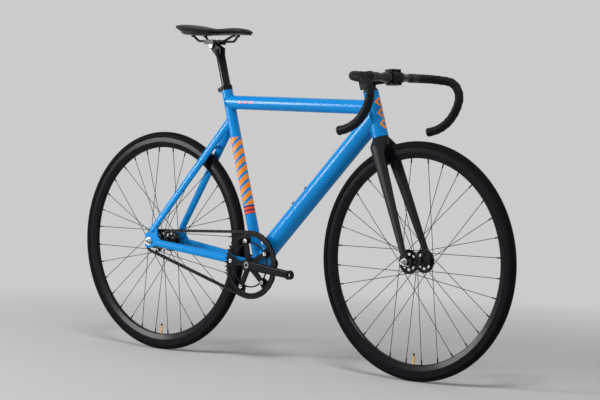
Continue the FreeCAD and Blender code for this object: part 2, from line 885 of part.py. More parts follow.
def chainring():
    first_angle = angle_of(chain_point(0), CRANK_AXLE) + mm.crank_angle
    disc = sprocket(mm.chainring_teeth, RING_RADIUS, first_angle, mm.chainring_inner_radius)
    reach = mm.chain_line + mm.tooth_thickness
    windows = round_copies(chainring_window(), int(mm.spider_arm_count), spider_step())
    holes = bolt_holes(mm.chainring_bolt_radius + mm.fit, -reach, 0)
    blank = shaped("chainring_blank", disc, CRANKS)
    keep(cut_away("chainring", blank, windows + holes, CRANKS), "chainring")


# Cranks and bottom bracket

def crank_section(x, y, thickness, height):
    """A rounded rectangle square to the crank arm."""
    edge = mm.crank_edge_radius
    half_y = thickness / 2
    half_z = height / 2
    corner = edge * (1 - math.sqrt(0.5))
    edges = []
    points = []
    for side_y, side_z in ((-1, -1), (1, -1), (1, 1), (-1, 1)):
        along_y = vec(x, y + side_y * (half_y - edge), side_z * half_z)
        along_z = vec(x, y + side_y * half_y, side_z * (half_z - edge))
        middle = vec(x, y + side_y * (half_y - corner), side_z * (half_z - corner))
        if side_y * side_z > 0:
            points.append((along_z, middle, along_y))
        else:
            points.append((along_y, middle, along_z))
    for k, (first, middle, last) in enumerate(points):
        edges.append(arc(first, middle, last))
        edges.append(line(last, points[(k + 1) % 4][0]))
    return Part.Wire(edges)


def crank_arm():
    """The right arm: boss, tapering arm and pedal eye, before its holes."""
    root = crank_section(0, -mm.crank_arm_root_place, mm.crank_arm_thickness, mm.crank_arm_root_height)
    end = crank_section(mm.crank_length, -mm.crank_eye_place, mm.crank_arm_thickness, mm.crank_arm_end_height)
    arm = Part.makeLoft([root, end], True, True)
    boss = across(mm.crank_boss_radius, -mm.crank_boss_outer_place, -mm.crank_boss_inner_place)
    eye_half = mm.crank_arm_thickness / 2
    eye = across(mm.crank_eye_radius, -mm.crank_eye_place - eye_half,
                 -mm.crank_eye_place + eye_half, mm.crank_length)
    return boss.multiFuse([arm, eye])


def crank_holes():
    """The square spindle hole, the bolt recess and the pedal thread of the right arm."""
    half = mm.spindle_square / 2 + mm.running_fit
    floor = -mm.crank_boss_outer_place + mm.bolt_recess_depth
    square = box(vec(-half, floor, -half), vec(half, -mm.crank_boss_inner_place, half))
    recess = across(mm.bolt_recess_radius, -mm.crank_boss_outer_place - mm.overrun, floor)
    reach = mm.crank_arm_thickness
    thread = across(mm.pedal_thread_radius, -mm.crank_eye_place - reach,
                    -mm.crank_eye_place + reach, mm.crank_length)
    return [square, recess, thread]


def spider_arm():
    """One tapering spider arm along X, lying on the outer face of the chainring."""
    inner_face = -mm.chain_line - mm.tooth_thickness / 2 - mm.fit
    outer_face = inner_face - mm.spider_arm_thickness
    root = mm.spider_arm_root_width / 2
    end = mm.spider_arm_end_width / 2
    corners = [
        vec(0, outer_face, -root),
        vec(mm.bolt_circle_radius, outer_face, -end),
        vec(mm.bolt_circle_radius, outer_face, end),
        vec(0, outer_face, root),
    ]
    arm = polygon(corners).extrude(vec(0, mm.spider_arm_thickness, 0))
    tab = across(mm.spider_tab_radius, outer_face, inner_face, mm.bolt_circle_radius)
    return arm.fuse(tab)


def cranks():
    arm = crank_arm()
    first = spider_arm().rotated(ORIGIN, Y_AXIS, -spider_step() / 2)
    spider = round_copies(first, int(mm.spider_arm_count), spider_step())
    reach = mm.chain_line + 2 * mm.spider_arm_thickness
    holes = bolt_holes(mm.chainring_bolt_radius + mm.fit, -reach, -mm.chain_line)
    right = shaped("right_crank_blank", arm.multiFuse(spider), CRANKS)
    keep(cut_away("right_crank", right, crank_holes() + holes, CRANKS), "right_crank")
    opposite = FreeCAD.Placement(CRANK_AXLE, FreeCAD.Rotation(Y_AXIS, mm.crank_angle + 180))
    left = shaped("left_crank_blank", mirrored(arm), opposite)
    left_holes = [mirrored(hole) for hole in crank_holes()]
    keep(cut_away("left_crank", left, left_holes, opposite), "left_crank")


def chainring_bolts():
    """Bolts whose heads close on the spider outside and on the chainring inside."""
    inside = -mm.chain_line + mm.tooth_thickness / 2 + mm.fit
    outside = -mm.chain_line - mm.tooth_thickness / 2 - mm.spider_arm_thickness - 2 * mm.fit
    head = mm.chainring_bolt_head_height
    parts = [
        across(mm.chainring_bolt_head_radius, outside - head, outside, mm.bolt_circle_radius),
        across(mm.chainring_bolt_head_radius, inside, inside + head, mm.bolt_circle_radius),
    ]
    shank = across(mm.chainring_bolt_radius, outside - head, inside + head, mm.bolt_circle_radius)
    socket = across(mm.chainring_bolt_radius / 2, outside - head, outside, mm.bolt_circle_radius)
    bolt = shank.multiFuse(parts).cut(socket).rotated(ORIGIN, Y_AXIS, -spider_step() / 2)
    keep_solids("chainring_bolts", round_copies(bolt, int(mm.spider_arm_count), spider_step()), CRANKS)


def crank_bolts():
    seat = mm.crank_boss_outer_place - mm.bolt_recess_depth + mm.fit
    head = across(mm.crank_bolt_head_radius, seat, seat + mm.crank_bolt_head_height)
    shank = across(mm.crank_bolt_radius, seat - mm.crank_bolt_length, seat)
    socket = hexagon(mm.crank_bolt_radius, seat + mm.crank_bolt_head_height / 2,
                     seat + mm.crank_bolt_head_height)
    bolt = head.fuse(shank).cut(socket)
    keep_solids("crank_bolts", [bolt, mirrored(bolt)], CRANKS)


def bottom_bracket():
    half = cell.shell_half_width
    shell = turned("bottom_bracket_shell", [[
        (cell.shell_bore_radius, -half),
        (cell.shell_radius, -half),
        (cell.shell_radius, half),
        (cell.shell_bore_radius, half),
    ]], placement=CRANK_CENTRE)
    keep(shell, "bottom_bracket_shell")
    bore = cell.spindle_radius + cell.running_fit
    body = cell.shell_bore_radius - cell.fit
    lip_start = half + cell.fit
    lip_end = lip_start + cell.cup_lip_thickness
    cartridge = turned("bottom_bracket_cartridge", [[
        (bore, -lip_end),
        (cell.cup_lip_radius, -lip_end),
        (cell.cup_lip_radius, -lip_start),
        (body, -lip_start),
        (body, lip_start),
        (cell.cup_lip_radius, lip_start),
        (cell.cup_lip_radius, lip_end),
        (bore, lip_end),
    ]], placement=CRANK_CENTRE)
    keep(cartridge, "bottom_bracket_cartridge")
    round_end = mm.crank_boss_inner_place - mm.fit
    shaft = across(mm.spindle_radius, -round_end, round_end)
    side = mm.spindle_square / 2
    end = mm.spindle_half_length
    square = box(vec(-side, round_end, -side), vec(side, end, side))
    thread = across(mm.crank_bolt_radius + mm.fit, end - mm.crank_bolt_length, end)
    spindle = shaft.multiFuse([square, mirrored(square)]).cut(thread).cut(mirrored(thread))
    keep_solids("bottom_bracket_spindle", [spindle], CRANKS)


# Wheels

def tyre(end, axle):
    middle = mm.wheel_radius - mm.tyre_width / 2
    outer = mm.tyre_width / 2
    inner = outer - mm.tyre_wall
    shoulder = mm.rim_edge_radius + mm.fit
    lining = shoulder + mm.tyre_wall
    bead = mm.rim_edge_radius - mm.rim_bed_depth + mm.fit
    bead_out = mm.rim_width / 2 - mm.rim_wall - mm.fit
    bead_in = bead_out - mm.tyre_wall
    wide = math.sqrt(outer ** 2 - (middle - shoulder) ** 2)
    narrow = math.sqrt(inner ** 2 - (middle - lining) ** 2)

    def at(radius, y):
        return vec(radius, y, 0)

    edges = [
        line(at(bead, bead_out), at(shoulder, bead_out)),
        line(at(shoulder, bead_out), at(shoulder, wide)),
        arc(at(shoulder, wide), at(middle + outer, 0), at(shoulder, -wide)),
        line(at(shoulder, -wide), at(shoulder, -bead_out)),
        line(at(shoulder, -bead_out), at(bead, -bead_out)),
        line(at(bead, -bead_out), at(bead, -bead_in)),
        line(at(bead, -bead_in), at(lining, -bead_in)),
        line(at(lining, -bead_in), at(lining, -narrow)),
        arc(at(lining, -narrow), at(middle + inner, 0), at(lining, narrow)),
        line(at(lining, narrow), at(lining, bead_in)),
        line(at(lining, bead_in), at(bead, bead_in)),
        line(at(bead, bead_in), at(bead, bead_out)),
    ]
    section = Part.Face(Part.Wire(edges))
    keep_solids(f"{end}_tyre", [section.revolve(ORIGIN, Y_AXIS, 360)], axle)


def inner_tube(end, axle):
    """A hollow tube lying against the tyre's crown, with a valve that hangs through the rim."""
    middle = mm.wheel_radius - mm.tyre_wall - mm.fit - mm.tube_radius
    ring_solid = Part.makeTorus(middle, mm.tube_radius, ORIGIN, Y_AXIS)
    hollow = Part.makeTorus(middle, mm.tube_radius - mm.tube_wall, ORIGIN, Y_AXIS)
    top = middle - mm.tube_radius - mm.fit
    stem = rod(vec(0, 0, -top), vec(0, 0, mm.valve_length - top), mm.valve_radius)
    keep_solids(f"{end}_inner_tube", [ring_solid.cut(hollow), stem], axle)


def spoke_line(end, side, lean):
    """The ends of one spoke's straight run, from its bend at the flange to its nipple."""
    place = getattr(mm, f"{end}_flange_place")
    half = mm.flange_thickness / 2
    step = 720 / mm.spoke_count
    start_angle = step * (0.25 + (0.5 if side > 0 else 0) + (0 if lean > 0 else 1))
    end_angle = start_angle + lean * mm.spoke_crosses * step
    lift = mm.spoke_lift if lean > 0 else mm.fit
    bend = place + lean * (half + mm.spoke_radius + lift)
    at_rim = mm.spoke_rim_offset + lean * mm.spoke_rim_spread
    rim_radius = mm.rim_edge_radius - mm.rim_depth
    at_flange = polar(mm.spoke_circle_radius, start_angle, side * bend)
    return at_flange, polar(rim_radius, end_angle, side * at_rim)


def spoke(end, side, lean):
    """A spoke with its bend, its stub through the flange and its head."""
    bend, seat = spoke_line(end, side, lean)
    place = getattr(mm, f"{end}_flange_place")
    far_face = side * (place - lean * (mm.flange_thickness / 2 + mm.fit))
    head_end = far_face - side * lean * mm.spoke_head_thickness
    run = (seat - bend).normalize()
    straight = rod(bend, seat + run * mm.rim_wall, mm.spoke_radius)
    elbow = Part.makeSphere(mm.spoke_radius, bend)
    stub = rod(bend, vec(bend.x, head_end, bend.z), mm.spoke_radius)
    head = rod(vec(bend.x, far_face, bend.z), vec(bend.x, head_end, bend.z), mm.spoke_head_radius)
    return straight.multiFuse([elbow, stub, head])


def nipple(end, side, lean):
    """A nipple on the spoke's end, its head inside the rim."""
    bend, seat = spoke_line(end, side, lean)
    run = (seat - bend).normalize()
    start = seat - run * mm.nipple_length
    head_start = seat + run * (mm.rim_wall + mm.spoke_head_radius / 2)
    head_end = head_start + run * mm.nipple_head_thickness
    body = rod(start, head_end, mm.nipple_radius)
    head = rod(head_start, head_end, mm.nipple_head_radius)
    bore = rod(start, head_start, mm.spoke_radius + mm.fit / 2)
    return body.fuse(head).cut(bore)


def lacing(end, piece):
    """The same spoke piece on both flanges, leaning both ways, all round the wheel."""
    copies = int(mm.spoke_count / 4)
    solids = []
    for side in SIDES.values():
        for lean in (1, -1):
            solids += round_copies(piece(end, side, lean), copies, 1440 / mm.spoke_count)
    return solids


def nipple_hole(end, side, lean):
    bend, seat = spoke_line(end, side, lean)
    run = (seat - bend).normalize()
    return rod(seat - run * mm.nipple_length, seat + run * mm.rim_depth / 3, mm.nipple_radius + mm.fit)


def rim(end, axle):
    edge = cell.rim_edge_radius
    inner = edge - cell.rim_depth
    bed = edge - cell.rim_bed_depth
    half = cell.rim_width / 2
    wall_in = half - cell.rim_wall
    crown = cell.rim_crown_width / 2
    crown_in = crown - cell.rim_wall
    side_end = edge - cell.rim_side_depth
    outside = [
        (edge, half),
        (side_end, half),
        (inner + cell.rim_crown_round, crown),
        (inner, crown - cell.rim_crown_round),
        (inner, cell.rim_crown_round - crown),
        (inner + cell.rim_crown_round, -crown),
        (side_end, -half),
        (edge, -half),
        (edge, -wall_in),
        (bed, -wall_in),
        (bed, wall_in),
        (edge, wall_in),
    ]
    cavity = [
        (bed - cell.rim_wall, wall_in),
        (side_end, wall_in),
        (inner + cell.rim_crown_round, crown_in),
        (inner + cell.rim_wall, crown_in - cell.rim_wall),
        (inner + cell.rim_wall, cell.rim_wall - crown_in),
        (inner + cell.rim_crown_round, -crown_in),
        (side_end, -wall_in),
        (bed - cell.rim_wall, -wall_in),
    ]
    blank = turned(f"{end}_rim_blank", [outside, cavity], placement=axle)
    low = vec(0, 0, -mm.rim_edge_radius)
    high = vec(0, 0, mm.rim_depth + mm.overrun - mm.rim_edge_radius)
    valve_hole = rod(low, high, mm.valve_radius + mm.fit)
    holes = lacing(end, nipple_hole) + [valve_hole]
    keep(cut_away(f"{end}_rim", blank, holes, axle), f"{end}_rim")


def flange_slot():
    """A slot of the hub flange: two round ends along the flange's circle."""
    radius = mm.flange_slot_radius
    reach = mm.rear_spacing / 2
    spread = 90 / mm.flange_slot_count
    ends = [polar(mm.flange_slot_circle_radius, angle) for angle in (-spread / 2, spread / 2)]
    rounds = [across(radius, -reach, reach, end.x, end.z) for end in ends]
    low_x = mm.flange_slot_circle_radius - radius
    high_x = mm.flange_slot_circle_radius + radius * math.cos(math.radians(spread))
    middle = box(vec(low_x, -reach, ends[0].z), vec(high_x, reach, ends[1].z))
    return rounds[0].multiFuse([rounds[1], middle])


def spoke_holes(end):
    """The holes of both flanges, for one spoke head each."""
    place = getattr(mm, f"{end}_flange_place")
    low = place - mm.flange_thickness
    high = place + mm.flange_thickness
    holes = []
    for side in SIDES.values():
        for lean in (1, -1):
            bend, _seat = spoke_line(end, side, lean)
            ends = sorted((side * low, side * high))
            hole = across(mm.spoke_radius + mm.fit, ends[0], ends[1], bend.x, bend.z)
            holes += round_copies(hole, int(mm.spoke_count / 4), 1440 / mm.spoke_count)
    return holes


def hub(end, axle):
    half = getattr(cell, f"{end}_hub_half_width")
    end_radius = getattr(cell, f"{end}_hub_end_radius")
    place = getattr(cell, f"{end}_flange_place")
    outer_face = place + cell.flange_thickness / 2
    inner_face = place - cell.flange_thickness / 2
    barrel_end = inner_face - cell.flange_taper
    pocket = cell.bearing_radius + cell.fit / 10
    pocket_floor = half - cell.bearing_width
    profile = [
        (pocket, -half),
        (end_radius, -half),
        (end_radius, -outer_face),
        (cell.flange_radius, -outer_face),
        (cell.flange_radius, -inner_face),
        (cell.flange_step_radius, -inner_face),
        (cell.hub_barrel_radius, -barrel_end),
        (cell.hub_barrel_radius, barrel_end),
        (cell.flange_step_radius, inner_face),
        (cell.flange_radius, inner_face),
        (cell.flange_radius, outer_face),
        (end_radius, outer_face),
        (end_radius, half),
        (pocket, half),
        (pocket, pocket_floor),
        (cell.hub_bore_radius, pocket_floor),
        (cell.hub_bore_radius, -pocket_floor),
        (pocket, -pocket_floor),
    ]
    blank = turned(f"{end}_hub_blank", [profile], placement=axle)
    slots = round_copies(flange_slot(), int(mm.flange_slot_count), 360 / mm.flange_slot_count)
    keep(cut_away(f"{end}_hub", blank, slots + spoke_holes(end), axle), f"{end}_hub")


def hub_bearings(end, axle):
    high = getattr(mm, f"{end}_hub_half_width")
    bore = getattr(mm, f"{end}_axle_radius") + mm.running_fit
    bearing = ring(mm.bearing_radius, bore, high - mm.bearing_width, high)
    keep_solids(f"{end}_hub_bearings", [bearing, mirrored(bearing)], axle)


def axle_end_place(end, plate_thickness):
    """How far the axle reaches to each side: past the end plate, the washer and the nut."""
    nut_start = getattr(mm, f"{end}_spacing") / 2 + plate_thickness + mm.washer_thickness + 2 * mm.fit
    return nut_start, nut_start + mm.axle_nut_height + mm.axle_end_length


def axle_and_nuts(end, axle, plate_thickness):
    radius = getattr(mm, f"{end}_axle_radius")
    face = getattr(mm, f"{end}_spacing") / 2
    nut_start, axle_end = axle_end_place(end, plate_thickness)
    locknut_start = getattr(mm, f"{end}_hub_half_width") + mm.locknut_gap
    locknut = across(getattr(mm, f"{end}_locknut_radius"), locknut_start, face)
    shaft = across(radius, -axle_end, axle_end)
    keep_solids(f"{end}_axle", [shaft.multiFuse([locknut, mirrored(locknut)])], axle)
    bore = radius + mm.running_fit
    nut_end = nut_start + mm.axle_nut_height
    nut = hexagon(mm.axle_nut_radius, nut_start, nut_end).cut(across(bore, nut_start, nut_end))
    washer_start = face + plate_thickness + mm.fit
    washer = ring(getattr(mm, f"{end}_washer_radius"), bore, washer_start, washer_start + mm.washer_thickness)
    keep_solids(f"{end}_axle_nuts", [nut, mirrored(nut), washer, mirrored(washer)], axle)


def wheel(end, axle, plate_thickness):
    tyre(end, axle)
    inner_tube(end, axle)
    rim(end, axle)
    keep_solids(f"{end}_spokes", lacing(end, spoke), axle)
    keep_solids(f"{end}_spoke_nipples", lacing(end, nipple), axle)
    hub(end, axle)
    hub_bearings(end, axle)
    axle_and_nuts(end, axle, plate_thickness)


# Frame

SEAT_TOP = SEAT_LINE.multVec(vec(0, 0, mm.seat_tube_length))
TOP_TUBE_REAR = SEAT_LINE.multVec(vec(0, 0, mm.seat_tube_length - mm.top_tube_seat_drop))
TOP_TUBE_FRONT = STEERING.multVec(vec(0, 0, mm.top_tube_head_place))
DOWN_TUBE_FRONT = STEERING.multVec(vec(0, 0, mm.down_tube_head_place))
DOWN_TUBE = aimed(CRANK_AXLE + vec(0, 0, mm.down_tube_lift), DOWN_TUBE_FRONT)
DOWN_TUBE_START = DOWN_TUBE.multVec(vec(0, 0, mm.down_tube_foot_length))
HEAD_TOP = STEERING.multVec(vec(0, 0, mm.head_tube_length))


def head_envelope():
    """The outside of the head tube, a little large, for mitres."""
    low = mm.head_tube_lower_radius + mm.mitre_gap
    high = mm.head_tube_upper_radius + mm.mitre_gap
    return Part.makeCone(low, high, mm.head_tube_length, HEAD_BASE, HEAD_TOP - HEAD_BASE)


def shell_envelope():
    radius = mm.shell_radius + mm.mitre_gap
    half = mm.shell_half_width
    return across(radius, -half, half, CRANK_AXLE.x, CRANK_AXLE.z)


def seat_envelope():
    return rod(CRANK_AXLE, SEAT_TOP, mm.seat_tube_diameter / 2 + mm.mitre_gap)


def top_envelope():
    return rod(TOP_TUBE_REAR, TOP_TUBE_FRONT, mm.top_tube_diameter / 2 + mm.mitre_gap)


def down_tube_foot(spare):
    """The flattened foot that brings the down tube to the bottom bracket, grown by a spare wall."""
    radius = mm.down_tube_diameter / 2 + spare
    centre = DOWN_TUBE.inverse().multVec(CRANK_AXLE)
    low = ellipse(centre, mm.down_tube_foot_height / 2 + spare, radius)
    high = ellipse(vec(0, 0, mm.down_tube_foot_length), radius, radius)
    foot = Part.makeLoft([low, high], True, True)
    foot.Placement = DOWN_TUBE
    return foot


def down_envelope():
    straight = rod(DOWN_TUBE_START, DOWN_TUBE_FRONT, mm.down_tube_diameter / 2 + mm.mitre_gap)
    return straight.fuse(down_tube_foot(mm.mitre_gap))


def tube(name, start, end, radius, cutters):
    """A straight tube, mitred to the pieces that it meets."""
    outside = straight_rod(f"{name}_outside", start, end, radius)
    bore = straight_rod(f"{name}_bore", start, end, radius - cell.tube_thickness)
    hollow = cut(f"{name}_hollow", outside, bore)
    return cut_away(name, hollow, cutters)


def fused(name, base, tool):
    feature = doc.addObject("Part::Fuse", name)
    feature.Base = base
    feature.Tool = tool
    return feature


def head_tube():
    low = cell.head_tube_lower_radius
    high = cell.head_tube_upper_radius
    seat = cell.headset_bearing_radius + cell.fit / 10
    depth = cell.headset_bearing_height + cell.headset_bearing_inset
    bore = cell.head_tube_bore_radius
    top = cell.head_tube_length
    body = turned("head_tube", [[
        (seat, 0),
        (low, 0),
        (high, top),
        (seat, top),
        (seat, top - depth),
        (bore, top - depth),
        (bore, depth),
        (seat, depth),
    ]], "XZ_Plane", STEERING)
    keep(body, "head_tube")


def seat_tube():
    wall = cell.seat_tube_diameter / 2
    bore = cell.seatpost_diameter / 2 + cell.running_fit
    neck_top = cell.seat_tube_length + cell.seat_clamp_height
    body = turned("seat_tube_blank", [[
        (bore, 0),
        (wall, 0),
        (wall, cell.seat_tube_length),
        (cell.seat_neck_radius, cell.seat_tube_length),
        (cell.seat_neck_radius, neck_top),
        (bore, neck_top),
    ]], "XZ_Plane", SEAT_LINE)
    low = vec(-mm.seat_tube_diameter, -mm.seat_clamp_slit / 2, mm.seat_tube_length - mm.seat_slit_depth)
    high = vec(0, mm.seat_clamp_slit / 2, neck_top.number + mm.overrun)
    slit = box(low, high)
    slit.Placement = SEAT_LINE.multiply(slit.Placement)
    keep(cut_away("seat_tube", body, [shell_envelope(), down_envelope(), slit]), "seat_tube")


def main_tubes():
    radius = cell.top_tube_diameter / 2
    top = tube("top_tube", TOP_TUBE_REAR, TOP_TUBE_FRONT, radius, [head_envelope(), seat_envelope()])
    keep(top, "top_tube")
    straight = tube("down_tube_straight", DOWN_TUBE_START, DOWN_TUBE_FRONT, cell.down_tube_diameter / 2,
                    [head_envelope(), top_envelope()])
    foot = shaped("down_tube_foot", down_tube_foot(0).cut(down_tube_foot(-mm.tube_thickness)))
    mitred_foot = cut_away("down_tube_foot_mitred", foot, [shell_envelope()])
    plain = fused("down_tube_plain", straight, mitred_foot)
    bosses = shaped("down_tube_bosses", Part.makeCompound([boss_blank(k) for k in range(2)]))
    joined = fused("down_tube_joined", plain, bosses)
    keep(cut_away("down_tube", joined, [boss_hole(k) for k in range(2)]), "down_tube")


def boss_frame(k):
    """A point on the down tube's middle line, and the way out from it through a bottle boss."""
    place = vec(0, 0, mm.boss_place + k * mm.boss_spacing)
    return DOWN_TUBE.multVec(place), DOWN_TUBE.Rotation.multVec(vec(-1, 0, 0))


def boss_blank(k):
    centre, outward = boss_frame(k)
    surface = mm.down_tube_diameter / 2
    inside = surface - mm.tube_thickness / 2
    return rod(centre + outward * inside, centre + outward * (surface + mm.boss_height), mm.boss_radius)


def boss_hole(k):
    centre, outward = boss_frame(k)
    top = mm.down_tube_diameter / 2 + mm.boss_height + mm.overrun
    inside = mm.down_tube_diameter / 4
    return rod(centre + outward * inside, centre + outward * top, mm.boss_bolt_radius + mm.fit / 2)


def boss_bolt(k):
    centre, outward = boss_frame(k)
    seat = mm.down_tube_diameter / 2 + mm.boss_height + mm.mitre_gap
    shank = rod(centre + outward * (seat - mm.boss_bolt_length), centre + outward * seat, mm.boss_bolt_radius)
    head = rod(centre + outward * seat, centre + outward * (seat + mm.boss_bolt_head_height),
               mm.boss_bolt_head_radius)
    return shank.fuse(head)


def stay_size(kind, name):
    return getattr(mm, f"{kind}_{name}")


def stay_root(kind, side):
    """The middle of a stay where it meets the bottom bracket or the seat tube."""
    y = side * stay_size(kind, "root_spread")
    if kind == "chainstay":
        return CRANK_AXLE + vec(0, y, 0)
    return SEAT_LINE.multVec(vec(0, y, mm.seat_tube_length - mm.seatstay_root_drop))


def stay_end(kind, side):
    """The middle of a stay where it meets its rear end plate."""
    y = (mm.rear_spacing + mm.dropout_thickness) / 2 + stay_size(kind, "end_spread")
    return REAR_AXLE + vec(stay_size(kind, "end_forward"), side * y, stay_size(kind, "end_rise"))


def oval_stay(kind, side, spare):
    """A stay's oval outside, grown by a spare wall, or its inside when the wall is negative."""
    start = stay_end(kind, side)
    end = stay_root(kind, side)
    sections = []
    for place, z in (("end", 0), ("root", (end - start).Length)):
        height = stay_size(kind, f"{place}_height") / 2 + spare
        width = stay_size(kind, f"{place}_width") / 2 + spare
        sections.append(ellipse(vec(0, 0, z), height, width))
    stay = Part.makeLoft(sections, True, True)
    stay.Placement = aimed(start, end)
    return stay


def dropout(side):
    """A rear-facing end plate with its open slot."""
    low = mm.rear_spacing / 2
    points = [vec(x * mm.dropout_length, low, z * mm.dropout_height) for x, z in DROPOUT_OUTLINE_SHARES]
    blank = polygon(points).extrude(vec(0, mm.dropout_thickness, 0))
    half = mm.rear_axle_radius + mm.fit
    front = DROPOUT_SLOT_FRONT_SHARE * mm.dropout_length
    rear = -DROPOUT_SLOT_REAR_SHARE * mm.dropout_length
    high = low + mm.dropout_thickness
    slot = box(vec(rear, low, -half), vec(front, high, half)).fuse(across(half, low, high, front))
    body = blank.cut(slot)
    if side < 0:
        body = mirrored(body)
    body.translate(REAR_AXLE)
    return body


def stays():
    plates = {side: dropout(side) for side in SIDES.values()}
    keep_solids("rear_dropouts", list(plates.values()))
    meets = {
        "chainstay": [shell_envelope(), seat_envelope(), down_envelope()],
        "seatstay": [seat_envelope()],
    }
    for kind, envelopes in meets.items():
        pair = []
        for name, side in SIDES.items():
            outside = shaped(f"{name}_{kind}_outside", oval_stay(kind, side, 0))
            cutters = envelopes + [oval_stay(kind, side, -mm.tube_thickness), plates[side]]
            pair.append(cut_away(f"{name}_{kind}", outside, cutters))
        keep_pair(f"{kind}s", pair)


def stay_bridges():
    """Two cross tubes, one between the seatstays and one between the chainstays."""
    bridges = []
    for kind in ("seatstay", "chainstay"):
        root = stay_root(kind, 1)
        place = root + (stay_end(kind, 1) - root) * stay_size(kind, "bridge_share")
        bridge = across(mm.bridge_radius, -place.y, place.y, place.x, place.z)
        envelopes = [oval_stay(kind, side, mm.mitre_gap) for side in SIDES.values()]
        cutters = Part.makeCompound(envelopes + [shell_envelope()])
        bridges.append(middle_solid(bridge.cut(cutters)))
    keep_solids("stay_bridges", bridges)


def middle_solid(shape):
    """The largest solid of a cut shape, which is the stretch between the stays."""
    return max(shape.Solids, key=lambda solid: solid.Volume)


def seat_clamp():
    """A split collar round the neck of the seat tube, its ears behind it."""
    inner = mm.seat_neck_radius + mm.mitre_gap
    outer = inner + mm.seat_clamp_wall
    low = mm.seat_tube_length + mm.mitre_gap
    high = mm.seat_tube_length + mm.seat_clamp_height
    band = rod(vec(0, 0, low), vec(0, 0, high), outer)
    half = mm.seat_clamp_ear_width / 2
    ears = box(vec(-outer - mm.seat_clamp_ear_length, -half, low), vec(0, half, high))
    bore = rod(vec(0, 0, low), vec(0, 0, high), inner)
    slit = box(vec(-2 * outer, -mm.seat_clamp_slit / 2, low), vec(0, mm.seat_clamp_slit / 2, high))
    x, z = seat_clamp_bolt_place()
    hole = across(mm.seat_clamp_bolt_radius + mm.fit, -half, half, x, z)
    body = band.fuse(ears).cut(bore).cut(slit).cut(hole)
    keep_solids("seat_clamp", [body], SEAT_LINE)


def seat_clamp_bolt_place():
    outer = mm.seat_neck_radius + mm.mitre_gap + mm.seat_clamp_wall
    return -outer - mm.seat_clamp_ear_length / 2, mm.seat_tube_length + mm.seat_clamp_height / 2


def seat_clamp_bolt():
    half = mm.seat_clamp_ear_width / 2 + mm.mitre_gap
    x, z = seat_clamp_bolt_place()
    head_end = half + mm.seat_clamp_bolt_head_height
    shank = across(mm.seat_clamp_bolt_radius, -half, half, x, z)
    head = across(mm.seat_clamp_bolt_head_radius, half, head_end, x, z)
    nut = across(mm.seat_clamp_bolt_head_radius, -head_end + mm.seat_clamp_bolt_head_height / 2, -half, x, z)
    bolt = shank.multiFuse([head, nut])
    bolt.Placement = SEAT_LINE
    return bolt


def frame():
    head_tube()
    seat_tube()
    main_tubes()
    bottom_bracket()
    stays()
    stay_bridges()
    seat_clamp()
    keep_solids("frame_bolts", [boss_bolt(0), boss_bolt(1), seat_clamp_bolt()])


# Seatpost and saddle

POST_TOP = mm.seat_tube_length + mm.seatpost_exposed
TILT_PLACE = vec(-mm.seatpost_setback, 0, POST_TOP + mm.seatpost_head_rise)
TILT_CENTRE = SEAT_LINE.multVec(TILT_PLACE)
SADDLE_FRAME = FreeCAD.Placement(TILT_CENTRE, FreeCAD.Rotation())


def seatpost():
    """A hollow post whose neck leans back to the cross barrel that carries the saddle clamp."""
    radius = mm.seatpost_diameter / 2
    low = POST_TOP - mm.seatpost_length
    post = rod(vec(0, 0, low), vec(0, 0, POST_TOP), radius)
    bore = rod(vec(0, 0, low), vec(0, 0, POST_TOP - mm.seatpost_neck_length), radius - mm.seatpost_wall)
    barrel_radius = mm.seatpost_head_radius
    x, z = TILT_PLACE.x, TILT_PLACE.z
    neck_half = mm.seatpost_neck_half_width
    neck_low = POST_TOP - mm.seatpost_neck_length
    corners = [
        polar(barrel_radius, mm.seatpost_neck_front_angle, -neck_half) + vec(x, 0, z),
        vec(radius, -neck_half, POST_TOP),
        vec(radius * math.cos(math.asin(neck_half / radius)), -neck_half, neck_low),
        vec(-radius * math.cos(math.asin(neck_half / radius)), -neck_half, neck_low),
        polar(barrel_radius, mm.seatpost_neck_rear_angle, -neck_half) + vec(x, 0, z),
    ]
    neck = polygon(corners).extrude(vec(0, 2 * neck_half, 0))
    half = mm.seatpost_head_half_width
    barrel = across(barrel_radius, -half, half, x, z)
    bolt_hole = across(mm.clamp_bolt_radius + mm.running_fit, -half, half, x, z)
    body = post.cut(bore).multiFuse([neck, barrel]).cut(bolt_hole)
    keep_solids("seatpost", [body], SEAT_LINE)


def rail_points(side):
    """The route of one saddle rail about the clamp: rear socket, straight run, nose socket."""
    rise = mm.rail_rise
    rear = -mm.rail_straight_rear - mm.rail_rear_run
    front = mm.rail_straight_front + mm.rail_front_run
    return [
        vec(rear, side * mm.rail_rear_spread, shell_middle(rear) - mm.rail_radius),
        vec(-mm.rail_straight_rear, side * mm.rail_spread, rise),
        vec(mm.rail_straight_front, side * mm.rail_spread, rise),
        vec(front, side * mm.rail_front_spread, shell_middle(front) - mm.rail_radius),
    ]


def rail(side, radius):
    bends = [mm.rail_bend_radius, mm.rail_bend_radius]
    return pipe(rail_points(side), bends, radius)


def rail_grooves():
    radius = mm.rail_radius + mm.running_fit
    reach = 2 * mm.cradle_half_length
    grooves = []
    for side in SIDES.values():
        y = side * mm.rail_spread
        grooves.append(rod(vec(-reach, y, mm.rail_rise), vec(reach, y, mm.rail_rise), radius))
    return grooves


